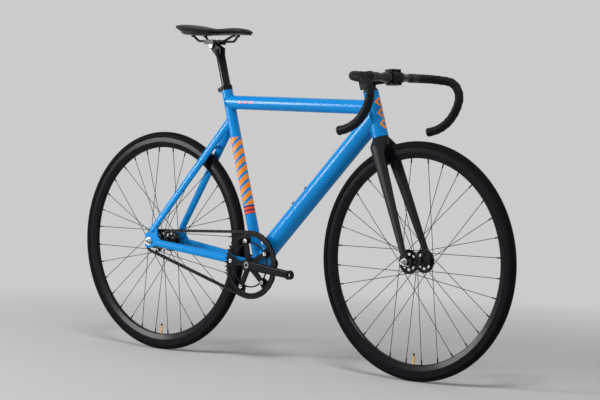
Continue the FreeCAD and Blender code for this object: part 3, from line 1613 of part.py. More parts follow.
def saddle_clamp():
    """A cradle hung on the barrel by two ears, with a cap over the rails."""
    length = mm.cradle_half_length
    width = mm.cradle_half_width
    split = mm.fit
    top = mm.rail_rise - split
    floor = mm.seatpost_head_radius + mm.fit
    ear_start = mm.seatpost_head_half_width + mm.fit
    wing_low = mm.clamp_bolt_head_radius + mm.fit
    bed = box(vec(-length, -width, floor), vec(length, width, top))
    wing = box(vec(-length, ear_start, wing_low), vec(length, width, top))
    ear_end = ear_start + mm.cradle_ear_thickness
    strap = box(vec(-mm.cradle_ear_radius, ear_start, 0), vec(mm.cradle_ear_radius, ear_end, top))
    eye = across(mm.cradle_ear_radius, ear_start, ear_end)
    side_parts = [wing, strap, eye]
    lower = bed.multiFuse(side_parts + [mirrored(part) for part in side_parts])
    bolt_hole = across(mm.clamp_bolt_radius + mm.running_fit, -width, width)
    cap_low = mm.rail_rise + split
    cap = box(vec(-length, -width, cap_low), vec(length, width, cap_low + mm.cradle_cap_thickness))
    cap_top = cap_low + mm.cradle_cap_thickness
    bolt_holes_up = [rod(vec(x, 0, 0), vec(x, 0, cap_top), mm.cradle_bolt_radius + mm.fit / 2)
                     for x in (-mm.cradle_bolt_place, mm.cradle_bolt_place)]
    cutters = Part.makeCompound(rail_grooves() + bolt_holes_up)
    keep_solids("saddle_clamp", [lower.cut(bolt_hole).cut(cutters), cap.cut(cutters)], SADDLE_FRAME)
    saddle_clamp_bolts(cap_top, ear_end, floor)


def saddle_clamp_bolts(cap_top, ear_end, floor):
    start = ear_end + mm.fit
    head = across(mm.clamp_bolt_head_radius, start, start + mm.clamp_bolt_head_height)
    shank = across(mm.clamp_bolt_radius, -start, start)
    through = shank.multiFuse([head, mirrored(head)])
    front = cap_bolt(mm.cradle_bolt_place, floor - mm.cradle_bolt_drop, cap_top + mm.fit)
    rear_low = floor - mm.rear_bolt_reach
    rear = cap_bolt(-mm.cradle_bolt_place, rear_low, cap_top + mm.fit)
    nut_low = vec(-mm.cradle_bolt_place, 0, rear_low)
    nut = rod(nut_low, nut_low + vec(0, 0, mm.rear_bolt_nut_height), mm.clamp_bolt_head_radius)
    keep_solids("saddle_clamp_bolts", [through, front, rear.fuse(nut)], SADDLE_FRAME)


def cap_bolt(x, low, seat):
    """An upright bolt through the clamp's cap, its head on top."""
    shank = rod(vec(x, 0, low), vec(x, 0, seat), mm.cradle_bolt_radius)
    head = rod(vec(x, 0, seat), vec(x, 0, seat + mm.clamp_bolt_head_height), mm.clamp_bolt_head_radius)
    return shank.fuse(head)


def saddle_station(shares):
    """Real sizes of a saddle station: x, half width, top, shoulder and underside."""
    length, width, rise, depth, crown = shares
    x = mm.saddle_length * length - mm.saddle_rear_reach
    half = mm.saddle_width / 2 * width
    top = mm.rail_rise + mm.saddle_rise * rise
    low = top - mm.saddle_depth * depth
    shoulder = top - mm.saddle_depth * crown
    return x, half, top, shoulder, low


def cover_section(shares):
    """A crowned section of the padded cover, drawn in at its lower edges."""
    x, half, top, shoulder, low = saddle_station(shares)
    skirt = half * SADDLE_SKIRT_SHARE
    bulge = half * SADDLE_SIDE_SHARE
    middle = (shoulder + low) / 2
    return Part.Wire([
        arc(vec(x, -half, shoulder), vec(x, 0, top), vec(x, half, shoulder)),
        arc(vec(x, half, shoulder), vec(x, bulge, middle), vec(x, skirt, low)),
        line(vec(x, skirt, low), vec(x, -skirt, low)),
        arc(vec(x, -skirt, low), vec(x, -bulge, middle), vec(x, -half, shoulder)),
    ])


def shell_section(shares):
    x, half, _top, _shoulder, low = saddle_station(shares)
    width = half * SADDLE_SHELL_WIDTH_SHARE
    high = low - mm.saddle_shell_gap
    base = high - mm.saddle_shell_thickness
    corners = [vec(x, -width, high), vec(x, width, high), vec(x, width, base), vec(x, -width, base)]
    return Part.makePolygon(corners + corners[:1])


def saddle():
    cover = Part.makeLoft([cover_section(shares) for shares in SADDLE_STATION_SHARES], True, False)
    keep_solids("saddle_cover", [cover], SADDLE_FRAME)
    shell = Part.makeLoft([shell_section(shares) for shares in SADDLE_STATION_SHARES], True, False)
    bosses = [saddle_boss(side, end) for side in SIDES.values() for end in (0, -1)]
    sockets = [rail(side, mm.rail_radius + mm.fit) for side in SIDES.values()]
    body = shell.multiFuse(bosses).cut(Part.makeCompound(sockets))
    keep_solids("saddle_shell", [body], SADDLE_FRAME)
    keep_solids("saddle_rails", [rail(side, mm.rail_radius) for side in SIDES.values()], SADDLE_FRAME)


def saddle_boss(side, end):
    """A socket under the shell for one end of a rail."""
    place = rail_points(side)[end]
    top = shell_middle(place.x)
    low = vec(place.x, place.y, top - mm.saddle_boss_height)
    radius = mm.rail_radius + mm.fit + mm.saddle_boss_wall
    return rod(low, vec(place.x, place.y, top), radius)


def shell_middle(x):
    """The height of the middle of the saddle shell at a place along it."""
    places = [saddle_station(shares) for shares in SADDLE_STATION_SHARES]
    for before, after in zip(places, places[1:]):
        if before[0] <= x <= after[0]:
            share = (x - before[0]) / (after[0] - before[0])
            low = before[4] + share * (after[4] - before[4])
            return low - mm.saddle_shell_gap - mm.saddle_shell_thickness / 2
    raise ValueError("a rail ends outside the saddle")


# Headset, fork and steering

STACK_START = mm.head_tube_length + mm.headset_gap
STEM_LOW = STACK_START + mm.headset_cover_height + mm.spacer_height + 2 * mm.fit
STEM_TOP = STEM_LOW + mm.stem_clamp_height
STEM_MIDDLE = (STEM_LOW + STEM_TOP) / 2
STEM_DROP = math.radians(mm.stem_drop_angle)
BAR_PLACE = vec(mm.stem_length * math.cos(STEM_DROP), 0, STEM_MIDDLE - mm.stem_length * math.sin(STEM_DROP))
BAR_CENTRE = STEERING.multVec(BAR_PLACE)
BAR_FRAME = FreeCAD.Placement(BAR_CENTRE, FreeCAD.Rotation())


def headset():
    bore = mm.steerer_radius + mm.running_fit
    low = mm.headset_bearing_inset
    high = mm.head_tube_length - mm.headset_bearing_inset
    height = mm.headset_bearing_height
    lower = collar(mm.headset_bearing_radius, bore, low, low + height)
    upper = collar(mm.headset_bearing_radius, bore, high - height, high)
    keep_solids("headset_bearings", [lower, upper], STEERING)
    inner = cell.steerer_radius + cell.running_fit
    start = cell.head_tube_length + cell.headset_gap
    end = start + cell.headset_cover_height
    cover = turned("headset_cover_cone", [[
        (inner, start),
        (cell.headset_cover_radius, start),
        (cell.headset_cover_radius, start + cell.headset_cover_height / 4),
        (cell.spacer_radius, end),
        (inner, end),
    ]], "XZ_Plane", STEERING)
    spacer_low = STACK_START + mm.headset_cover_height + mm.fit
    spacer = collar(mm.spacer_radius, bore, spacer_low, spacer_low + mm.spacer_height)
    keep_pair("headset_cover", [cover, shaped("headset_spacer", spacer, STEERING)])


def steerer():
    outer = cell.steerer_radius
    inner = outer - cell.steerer_wall
    top = (cell.head_tube_length + cell.headset_gap + cell.headset_cover_height + cell.spacer_height
           + cell.stem_clamp_height)
    low = -(cell.crown_height + cell.headset_gap)
    body = turned("steerer_tube", [[(inner, low), (outer, low), (outer, top), (inner, top)]],
                  "XZ_Plane", STEERING)
    keep(body, "steerer_tube")
    cap_low = STEM_TOP + mm.fit
    cap_top = cap_low + mm.steerer_cap_height
    cap = rod(vec(0, 0, cap_low), vec(0, 0, cap_top), mm.spacer_radius)
    bolt_top = cap_top + mm.steerer_cap_bolt_height
    bolt = rod(vec(0, 0, cap_top), vec(0, 0, bolt_top), mm.steerer_cap_bolt_radius)
    keep_solids("steerer_cap", [cap.fuse(bolt)], STEERING)


def shoulder_section(side):
    """The shoulder's section at the foot of the crown, where a blade begins."""
    low = -mm.headset_gap - mm.crown_height
    centre = vec(mm.blade_root_forward, side * mm.blade_root_place, low)
    return ellipse(centre, mm.blade_root_depth / 2, mm.blade_root_width / 2)


def crown():
    top = -mm.headset_gap
    low = top - mm.crown_height
    collar_wire = ellipse(vec(0, 0, top), mm.crown_radius, mm.crown_radius)
    foot_wire = ellipse(vec(0, 0, low), mm.crown_half_depth, mm.crown_half_width)
    middle = Part.makeLoft([collar_wire, foot_wire], True, True)
    shoulders = []
    for side in SIDES.values():
        root = ellipse(vec(0, side * mm.crown_shoulder_place, top - mm.fit),
                       mm.crown_shoulder_depth / 2, mm.crown_shoulder_width / 2)
        shoulders.append(Part.makeLoft([root, shoulder_section(side)], True, True))
    bore = rod(vec(0, 0, low), vec(0, 0, top), mm.steerer_radius + mm.mitre_gap)
    keep_solids("fork_crown", [middle.multiFuse(shoulders).cut(bore)], STEERING)


def fork_tip(side):
    """A slotted end plate of the fork, in the steering frame."""
    low = mm.front_spacing / 2
    high = low + mm.fork_tip_thickness
    x = mm.fork_rake
    z = -AXLE_TO_HEAD
    half = mm.fork_tip_width / 2
    eye = across(mm.fork_tip_radius, low, high, x, z)
    arm = box(vec(x - half, low, z), vec(x + half, high, z + mm.fork_tip_length))
    slot_half = mm.front_axle_radius + mm.fit
    slot = box(vec(x - slot_half, low, z - mm.fork_tip_length), vec(x + slot_half, high, z))
    body = eye.fuse(arm).cut(across(slot_half, low, high, x, z)).cut(slot)
    return body if side > 0 else mirrored(body)


def fork():
    crown()
    tips = {side: fork_tip(side) for side in SIDES.values()}
    keep_solids("fork_tips", list(tips.values()), STEERING)
    end_y = (mm.front_spacing + mm.fork_tip_thickness) / 2
    for name, side in SIDES.items():
        end = vec(mm.fork_rake, side * end_y, mm.blade_end_rise - AXLE_TO_HEAD)
        root_wire = shoulder_section(side)
        root_wire.translate(vec(0, 0, -mm.mitre_gap))
        end_wire = ellipse(end, mm.blade_end_depth / 2, mm.blade_end_width / 2)
        blade = Part.makeLoft([root_wire, end_wire], True, True)
        keep_solids(f"{name}_fork_blade", [blade.cut(tips[side])], STEERING)


# Stem and handlebar

STEM_FRAME = FreeCAD.Placement(BAR_PLACE, FreeCAD.Rotation(Y_AXIS, mm.stem_drop_angle))


def in_stem(shape):
    """Places a shape made about the bar clamp, its X axis along the stem, in the steering frame."""
    shape.Placement = STEM_FRAME.multiply(shape.Placement)
    return shape


def bar_clamp():
    """The whole bar clamp about its own centre, before it is split."""
    half = mm.bar_clamp_half_width
    band = across(mm.bar_clamp_radius, -half, half)
    lugs = box(vec(-mm.bar_clamp_lug_depth, -half, -mm.bar_clamp_lug_rise),
               vec(mm.bar_clamp_lug_depth, half, mm.bar_clamp_lug_rise))
    bore = across(mm.bar_centre_radius + mm.running_fit, -half, half)
    return band.fuse(lugs).cut(bore)


def clamp_side(side):
    """A block that covers the bar clamp behind or ahead of the split."""
    reach = 2 * mm.bar_clamp_lug_rise
    gap = side * mm.faceplate_gap / 2
    near, far = sorted((gap, side * reach))
    return box(vec(near, -reach, -reach), vec(far, reach, reach))


def face_bolt(y, z):
    """A faceplate bolt along the stem, its head in front."""
    front = mm.bar_clamp_lug_depth + mm.fit
    shank = rod(vec(front - mm.stem_bolt_length, y, z), vec(front, y, z), mm.stem_bolt_radius)
    head = rod(vec(front, y, z), vec(front + mm.stem_bolt_head_height, y, z), mm.stem_bolt_head_radius)
    return shank.fuse(head)


def face_bolt_places():
    return [(y * mm.stem_bolt_spread, z * mm.stem_bolt_rise) for y in (-1, 1) for z in (-1, 1)]


def bolt_hole_along(y, z):
    reach = mm.bar_clamp_lug_depth + mm.stem_bolt_head_height
    return rod(vec(-reach, y, z), vec(reach, y, z), mm.stem_bolt_radius + mm.fit / 2)


def pinch_bolt(z):
    """A cross bolt through the ears behind the steerer."""
    outer = mm.steerer_radius + mm.stem_clamp_wall
    x = -outer - mm.pinch_lug_depth / 2
    half = mm.pinch_lug_half_width + mm.fit
    shank = across(mm.stem_bolt_radius, -half, half, x, z)
    head = across(mm.stem_bolt_head_radius, half, half + mm.stem_bolt_head_height, x, z)
    return shank.fuse(head), across(mm.stem_bolt_radius + mm.fit / 2, -half, half, x, z)


def stem():
    outer = mm.steerer_radius + mm.stem_clamp_wall
    sleeve = rod(vec(0, 0, STEM_LOW), vec(0, 0, STEM_TOP), outer)
    ears = box(vec(-outer - mm.pinch_lug_depth, -mm.pinch_lug_half_width, STEM_LOW),
               vec(0, mm.pinch_lug_half_width, STEM_TOP))
    arm = rod(vec(0, 0, STEM_MIDDLE), BAR_PLACE, mm.stem_arm_radius)
    clamp_back = in_stem(bar_clamp().common(clamp_side(-1)))
    steerer_hole = rod(vec(0, 0, STEM_LOW), vec(0, 0, STEM_TOP), mm.steerer_radius + mm.mitre_gap)
    slit = box(vec(-2 * outer, -mm.pinch_slit / 2, STEM_LOW), vec(0, mm.pinch_slit / 2, STEM_TOP))
    half = mm.bar_clamp_half_width
    bar_hole = in_stem(across(mm.bar_centre_radius + mm.running_fit, -half, half))
    front = in_stem(clamp_side(1))
    gap = in_stem(box(vec(-mm.faceplate_gap / 2, -half, -half), vec(mm.faceplate_gap / 2, half, half)))
    pinches = [pinch_bolt(STEM_MIDDLE + side * mm.pinch_bolt_spread) for side in (-1, 1)]
    face_holes = [in_stem(bolt_hole_along(y, z)) for y, z in face_bolt_places()]
    holes = [steerer_hole, slit, bar_hole, front, gap] + [hole for _bolt, hole in pinches] + face_holes
    body = sleeve.multiFuse([ears, arm, clamp_back])
    for hole in holes:
        body = body.cut(hole)
    keep_solids("stem", [body], STEERING)
    plate = bar_clamp().common(clamp_side(1))
    plate_holes = [bolt_hole_along(y, z) for y, z in face_bolt_places()]
    keep_solids("stem_faceplate", [in_stem(plate.cut(Part.makeCompound(plate_holes)))], STEERING)
    bolts = [in_stem(face_bolt(y, z)) for y, z in face_bolt_places()]
    keep_solids("stem_bolts", bolts + [bolt for bolt, _hole in pinches], STEERING)


def bar_points(side, start):
    """The route of one half of the bar about its clamp, from a place on the straight top."""
    y = side * mm.bar_half_width
    return [
        vec(0, side * start, 0),
        vec(0, y, 0),
        vec(mm.bar_ramp_reach, y, -mm.bar_ramp_drop),
        vec(mm.bar_hook_reach, y, -mm.bar_hook_drop),
        vec(-mm.bar_end_reach, y, -mm.bar_end_drop),
    ]


def bar_pipe(side, start, radius):
    bends = [mm.bar_corner_radius, mm.bar_front_radius, mm.bar_hook_radius]
    return pipe(bar_points(side, start), bends, radius)


def handlebar():
    inner = mm.bar_radius - mm.bar_wall
    halves = []
    for name, side in SIDES.items():
        bore = bar_pipe(side, mm.bar_taper_end, inner)
        halves.append(bar_pipe(side, mm.bar_taper_end, mm.bar_radius).cut(bore))
        start = mm.bar_taper_end + mm.bare_bar_length
        tape = bar_pipe(side, start, mm.bar_radius + mm.tape_thickness)
        tape = tape.cut(bar_pipe(side, start, mm.bar_radius + mm.mitre_gap))
        keep_solids(f"{name}_bar_tape", [tape], BAR_FRAME)
    middle = mm.bar_centre_half_length
    outside = [
        (inner, -mm.bar_taper_end), (mm.bar_radius, -mm.bar_taper_end), (mm.bar_centre_radius, -middle),
        (mm.bar_centre_radius, middle), (mm.bar_radius, mm.bar_taper_end), (inner, mm.bar_taper_end),
    ]
    section = polygon([vec(radius, y, 0) for radius, y in outside])
    centre = section.revolve(ORIGIN, Y_AXIS, 360)
    keep_solids("handlebar", [centre.multiFuse(halves)], BAR_FRAME)
    keep_solids("bar_end_plugs", [bar_end_plug(side) for side in SIDES.values()], BAR_FRAME)


def bar_end_plug(side):
    """A cap on the end of the bar, its stub inside the bar."""
    points = bar_points(side, mm.bar_taper_end)
    run = (points[-1] - points[-2]).normalize()
    seat = points[-1] + run * mm.mitre_gap
    cap = rod(seat, seat + run * mm.plug_thickness, mm.bar_radius + mm.tape_thickness)
    stub = rod(seat - run * mm.plug_depth, seat, mm.bar_radius - mm.bar_wall - mm.fit)
    return cap.fuse(stub)


# The whole bike

def check_document():
    for feature in doc.Objects:
        if "Invalid" in feature.State or "Error" in feature.State:
            raise RuntimeError(f"{feature.Label} failed to build")
    for feature in nodes:
        shape = feature.Shape
        if shape.isNull() or not shape.isValid() or not shape.Solids:
            raise RuntimeError(f"{feature.Label} has no sound solid")


def write_nodes():
    os.makedirs("parts", exist_ok=True)
    for feature in nodes:
        feature.Shape.exportStep(f"parts/{feature.Label}.step")


frame()
cranks()
chainring()
chainring_bolts()
crank_bolts()
chain()
wheel("front", FRONT, mm.fork_tip_thickness)
wheel("rear", REAR, mm.dropout_thickness)
rear_cog()
seatpost()
saddle_clamp()
saddle()
headset()
steerer()
fork()
stem()
handlebar()
doc.recompute()
check_document()
write_nodes()
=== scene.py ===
"""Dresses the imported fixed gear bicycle: paint, metal, rubber, saddle, bar tape, welds and a studio."""

import json
import math

import bmesh
import bpy
from bpy.props import FloatProperty, FloatVectorProperty, PointerProperty
from mathutils import Matrix, Vector


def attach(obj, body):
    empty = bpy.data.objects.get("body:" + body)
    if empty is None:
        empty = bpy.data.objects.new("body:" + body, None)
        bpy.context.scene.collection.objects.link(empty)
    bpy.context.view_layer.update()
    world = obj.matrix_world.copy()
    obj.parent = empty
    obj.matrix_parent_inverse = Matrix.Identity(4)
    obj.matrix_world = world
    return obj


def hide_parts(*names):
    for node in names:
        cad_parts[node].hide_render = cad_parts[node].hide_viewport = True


bl_info = {
    "name": "Fixed gear bicycle",
    "version": (1, 0, 0),
    "blender": (4, 5, 0),
    "location": "3D View > Sidebar > Bicycle",
    "description": "Paints and trims a fixed gear bicycle around its packed model",
    "category": "Object",
}

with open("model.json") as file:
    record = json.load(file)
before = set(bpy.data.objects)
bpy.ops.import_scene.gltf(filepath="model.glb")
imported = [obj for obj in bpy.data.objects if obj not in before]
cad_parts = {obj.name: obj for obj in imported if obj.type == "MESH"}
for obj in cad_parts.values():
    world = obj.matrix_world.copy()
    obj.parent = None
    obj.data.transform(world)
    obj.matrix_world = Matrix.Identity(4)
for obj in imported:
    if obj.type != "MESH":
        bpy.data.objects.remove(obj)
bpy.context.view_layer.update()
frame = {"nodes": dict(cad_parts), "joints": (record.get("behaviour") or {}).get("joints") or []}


def joint(name):
    """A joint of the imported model."""
    return next(row for row in frame["joints"] if row["name"] == name)


def joint_place(name):
    """The point that a joint turns or slides about."""
    return Vector(joint(name)["pos_m"])


def joint_axis(name):
    return Vector(joint(name)["axis"]).normalized()


FRONT_AXLE = joint_place("front_wheel_spin")
REAR_AXLE = joint_place("rear_wheel_spin")
CRANK_AXLE = joint_place("crank_spin")
HEAD_BASE = joint_place("steering")
HEAD_AXIS = joint_axis("steering")
SEAT_AXIS = joint_axis("seatpost_height")
SADDLE_CENTRE = joint_place("saddle_tilt")
BAR_CENTRE = joint_place("handlebar_roll")
SIDES = {"right": -1, "left": 1}
WHEELS = {"front": FRONT_AXLE, "rear": REAR_AXLE}


# Settings that a user would change

def colour_setting(name, description, default):
    return FloatVectorProperty(name=name, description=description, default=default,
                               subtype="COLOR", size=3, min=0, max=1)


def length_setting(name, description, default):
    return FloatProperty(name=name, description=description, default=default, unit="LENGTH", min=0)


def angle_setting(name, description, default):
    return FloatProperty(name=name, description=description, default=default, subtype="ANGLE")


def power_setting(name, description, default):
    return FloatProperty(name=name, description=description, default=default, unit="POWER")


class PaintSettings(bpy.types.PropertyGroup):
    """Colours of the painted and printed surfaces."""
    frame_blue: colour_setting("Frame blue", "Gloss paint on the frame", (0.0, 0.245, 0.655))
    stripe_orange: colour_setting("Orange", "Chevrons and diamonds", (1.0, 0.3, 0.03))
    stripe_red: colour_setting("Red", "Stripes, dashes and edges", (0.9, 0.085, 0.03))
    band_navy: colour_setting("Navy", "Band behind the two low stripes", (0.0, 0.03, 0.12))
    fork_grey: colour_setting("Fork grey", "Satin paint on the fork", (0.008, 0.009, 0.011))


class FinishSettings(bpy.types.PropertyGroup):
    """Colours of the bare metal, rubber, plastic and leather."""
    alloy_black: colour_setting("Black alloy", "Anodised rims, hubs, cranks, stem", (0.004, 0.0045, 0.006))
    steel_bright: colour_setting("Bright steel", "Nuts, bolts and axles", (0.62, 0.62, 0.63))
    steel_dark: colour_setting("Dark steel", "Spokes, rails and small bolts", (0.02, 0.02, 0.022))
    chain_grey: colour_setting("Chain", "Oiled chain plates", (0.02, 0.0195, 0.019))
    brass: colour_setting("Brass", "Valve stems", (0.72, 0.45, 0.16))
    tyre_black: colour_setting("Tyre", "Tread and side walls", (0.0035, 0.004, 0.005))
    leather_black: colour_setting("Saddle cover", "Saddle skin", (0.004, 0.005, 0.0075))
    tape_black: colour_setting("Bar tape", "Wrapped tape", (0.004, 0.0045, 0.006))


class TrimSettings(bpy.types.PropertyGroup):
    """Sizes of what is wound, sewn or welded."""
    tape_pitch: length_setting("Tape pitch", "Advance of the bar tape in one turn", 0.0205)
    tape_step: length_setting("Tape step", "Height of each overlap of the tape", 0.0011)
    tape_radius: length_setting("Tape radius", "Outside of the wrapped bar", 0.013)
    band_pitch: length_setting("Band pitch", "Advance of the finishing band in one turn", 0.009)
    band_step: length_setting("Band step", "Height of each overlap of the finishing band", 0.0003)
    stitch_pitch: length_setting("Stitch pitch", "Distance between stitches on the saddle", 0.0042)
    stitch_length: length_setting("Stitch length", "Length of one stitch", 0.003)
    thread_width: length_setting("Thread width", "Thickness of the sewing thread", 0.0008)
    weld_radius: length_setting("Weld radius", "Radius of the smoothed welds", 0.0024)


class StageSettings(bpy.types.PropertyGroup):
    """Camera, floor and lights."""
    camera_place: FloatVectorProperty(name="Camera place", description="Where the camera stands",
                                      default=(4.0884, -4.7073, 0.7357), subtype="TRANSLATION", size=3)
    azimuth: angle_setting("Azimuth", "Turn of the camera about the upright", 0.7082)
    elevation: angle_setting("Elevation", "How far the camera looks down", 0.0403)
    roll: angle_setting("Roll", "Turn of the picture", 0.0279)
    lens: FloatProperty(name="Lens", description="Focal length on a 36 mm sensor, in millimetres",
                        default=127.78, min=1)
    floor_colour: colour_setting("Floor", "Pale studio floor", (0.6, 0.6, 0.6))
    backdrop_colour: colour_setting("Backdrop", "Pale studio backdrop", (0.6, 0.6, 0.6))
    key_power: power_setting("Key light", "Power of the high light on the right", 120)
    side_power: power_setting("Side light", "Power of the tall light on the left", 125)
    sky_strength: FloatProperty(name="Sky", description="Strength of the even light from all round",
                                default=0.34, min=0)


# Node and shader helpers

RELIEF, FINE_RELIEF, LEATHER_RELIEF = 0.0004, 0.0003, 0.0005


def feed(tree, socket, value):
    """Sets a socket to a plain value, or links another node's output to it."""
    if isinstance(value, bpy.types.NodeSocket):
        tree.links.new(value, socket)
    else:
        socket.default_value = value


def add(tree, kind, *inputs, **options):
    """A new node with its options set and its first inputs fed in order."""
    return named(tree, kind, dict(enumerate(inputs)), **options)


def named(tree, kind, inputs, **options):
    """A new node with its options set and its inputs fed by name or by number."""
    made = tree.nodes.new(kind)
    for name, value in options.items():
        setattr(made, name, value)
    for name, value in inputs.items():
        feed(tree, made.inputs[name], value)
    return made


def calc(tree, operation, *values):
    return add(tree, "ShaderNodeMath", *values, operation=operation).outputs[0]


def times(tree, product, *others):
    """The product of several values."""
    for other in others:
        product = calc(tree, "MULTIPLY", product, other)
    return product


def square_sum(tree, first, second):
    return calc(tree, "ADD", calc(tree, "POWER", first, 2.0), calc(tree, "POWER", second, 2.0))


def object_place(tree):
    return add(tree, "ShaderNodeTexCoord").outputs["Object"]


def local_place(tree, centre, turn):
    """Object coordinates about a centre, turned back about Y so that a leaning tube stands upright."""
    return add(tree, "ShaderNodeMapping", object_place(tree), tuple(centre), (0, turn, 0), (1, 1, 1),
               vector_type="TEXTURE").outputs[0]


def split_place(tree, place):
    """The X, Y and Z of a place."""
    return add(tree, "ShaderNodeSeparateXYZ", place).outputs[:]


def noise(tree, place, scale, detail=3.0):
    """A cloudy pattern, its scale in features per metre."""
    inputs = {"Vector": place, "Scale": scale, "Detail": detail}
    return named(tree, "ShaderNodeTexNoise", inputs).outputs["Fac"]


def spread(tree, value, low=0.0, high=1.0, start=0.3, end=0.7):
    """Maps a noise value onto a range of roughness or mixing."""
    inputs = {"Value": value, "From Min": start, "From Max": end, "To Min": low, "To Max": high}
    return named(tree, "ShaderNodeMapRange", inputs).outputs["Result"]


def blend_colour(tree, share, first, second):
    made = named(tree, "ShaderNodeMix", {"Factor": share}, data_type="RGBA")
    colour_inputs = [socket for socket in made.inputs if socket.type == "RGBA"]
    for socket, colour in zip(colour_inputs, (first, second)):
        feed(tree, socket, colour if isinstance(colour, bpy.types.NodeSocket) else (*colour, 1))
    return next(socket for socket in made.outputs if socket.type == "RGBA")


def shade(colour, share):
    return tuple(channel * share for channel in colour)


def mottled(tree, share, colour, dark, light):
    """A colour that varies between a darker and a lighter tone of itself."""
    return blend_colour(tree, share, shade(colour, dark), shade(colour, light))


def inside(tree, value, low, high):
    """One between two limits, and nothing outside them."""
    return times(tree, calc(tree, "GREATER_THAN", value, low), calc(tree, "LESS_THAN", value, high))


def new_finish(name, metallic=0.0, coat=0.0, coat_roughness=0.03, sheen=0.0, gloss=0.5):
    """A material with its shader's even values set; returns the material, its tree and its shader."""
    material = bpy.data.materials.new(name)
    material.use_nodes = True
    tree = material.node_tree
    shader = tree.nodes["Principled BSDF"]
    values = {"Metallic": metallic, "Coat Weight": coat, "Coat Roughness": coat_roughness,
              "Sheen Weight": sheen, "Specular IOR Level": gloss}
    for label, value in values.items():
        shader.inputs[label].default_value = value
    return material, tree, shader


def surface(tree, shader, colour, patches, roughness, relief, strength, depth=RELIEF):
    """Feeds a shader its colour, a roughness that patches vary between two limits, and its relief."""
    raised = named(tree, "ShaderNodeBump", {"Strength": strength, "Distance": depth, "Height": relief})
    feed(tree, shader.inputs["Base Color"], colour)
    feed(tree, shader.inputs["Roughness"], spread(tree, patches, *roughness))
    feed(tree, shader.inputs["Normal"], raised.outputs["Normal"])


def dress(material, *names):
    """Gives carried-over nodes their finished material."""
    for name in names:
        mesh = frame["nodes"][name].data
        mesh.materials.clear()
        mesh.materials.append(material)


def around_and_along(tree, centre, axis):
    """Turn about a tube, from minus one to one with nothing at the front, and place along it in metres."""
    lean = math.atan2(axis.x, axis.z)
    x, y, z = split_place(tree, local_place(tree, centre, lean))
    return calc(tree, "DIVIDE", calc(tree, "ARCTAN2", y, x), math.pi), z


# Paint

PAINT_CLOUDS, PAINT_HAZE, PAINT_RIPPLE = 9.0, 60.0, 160.0
PAINT_ROUGHNESS = (0.2, 0.28)
PAINT_BUMP = 0.012
FORK_SPECKLE, FORK_PATCHES = 900.0, 40.0
FORK_ROUGHNESS = (0.38, 0.5)
FORK_BUMP = 0.06


def gloss_paint(name, graphics=None):
    """Blue gloss paint, faintly clouded as sprayed paint is, with a printed design where one is given."""
    paint = bpy.context.scene.bicycle_paint
    material, tree, shader = new_finish(name, coat=0.42, coat_roughness=0.18, gloss=0.02)
    place = object_place(tree)
    clouds = spread(tree, noise(tree, place, PAINT_CLOUDS))
    colour = mottled(tree, clouds, paint.frame_blue, dark=0.93, light=1.05)
    if graphics:
        colour = graphics(tree, colour, paint)
    haze = noise(tree, place, PAINT_HAZE)
    ripple = noise(tree, place, PAINT_RIPPLE, detail=1.0)
    surface(tree, shader, colour, haze, PAINT_ROUGHNESS, ripple, PAINT_BUMP)
    return material


def satin_paint(name):
    """Dark grey satin paint with a fine speckle."""
    paint = bpy.context.scene.bicycle_paint
    material, tree, shader = new_finish(name, coat=0.08, coat_roughness=0.3, gloss=0.14)
    place = object_place(tree)
    speckle = noise(tree, place, FORK_SPECKLE, detail=2.0)
    colour = mottled(tree, spread(tree, speckle), paint.fork_grey, dark=0.8, light=1.25)
    patches = noise(tree, place, FORK_PATCHES)
    surface(tree, shader, colour, patches, FORK_ROUGHNESS, speckle, FORK_BUMP)
    return material


CHEVRON_LOW, CHEVRON_HIGH = 0.179, 0.387
CHEVRON_PITCH = 0.026
CHEVRON_REACH = 0.034
CHEVRON_SHARE = 0.62
DESIGN_EDGE = 0.7
EDGE_WIDTH = 0.055
STRIPE_PLACES = (0.1575, 0.1695)
STRIPE_HALF = 0.0037
BAND_LOW, BAND_HIGH = 0.1525, 0.1775


def seat_tube_design(tree, colour, paint):
    """Stacked chevrons with a red edge, over two plain red stripes on a navy band."""
    turn, along = around_and_along(tree, CRANK_AXLE, SEAT_AXIS)
    wide = calc(tree, "ABSOLUTE", turn)
    slope = times(tree, wide, CHEVRON_REACH)
    step = calc(tree, "DIVIDE", calc(tree, "ADD", along, slope), CHEVRON_PITCH)
    bars = calc(tree, "LESS_THAN", calc(tree, "FRACT", step), CHEVRON_SHARE)
    zone = inside(tree, along, CHEVRON_LOW, CHEVRON_HIGH)
    front = calc(tree, "LESS_THAN", wide, DESIGN_EDGE)
    edge = inside(tree, wide, DESIGN_EDGE, DESIGN_EDGE + EDGE_WIDTH)
    band = inside(tree, along, BAND_LOW, BAND_HIGH)
    colour = blend_colour(tree, band, colour, paint.band_navy)
    for place in STRIPE_PLACES:
        stripe = inside(tree, along, place - STRIPE_HALF, place + STRIPE_HALF)
        colour = blend_colour(tree, stripe, colour, paint.stripe_red)
    colour = blend_colour(tree, times(tree, bars, zone, front), colour, paint.stripe_orange)
    return blend_colour(tree, times(tree, zone, edge), colour, paint.stripe_red)


DIAMOND_LOW, DIAMOND_HIGH = 0.018, 0.114
DIAMOND_PITCH = 0.032
DIAMOND_HALF_TURN = 0.24
DIAMOND_INNER, DIAMOND_OUTER = 0.42, 0.95


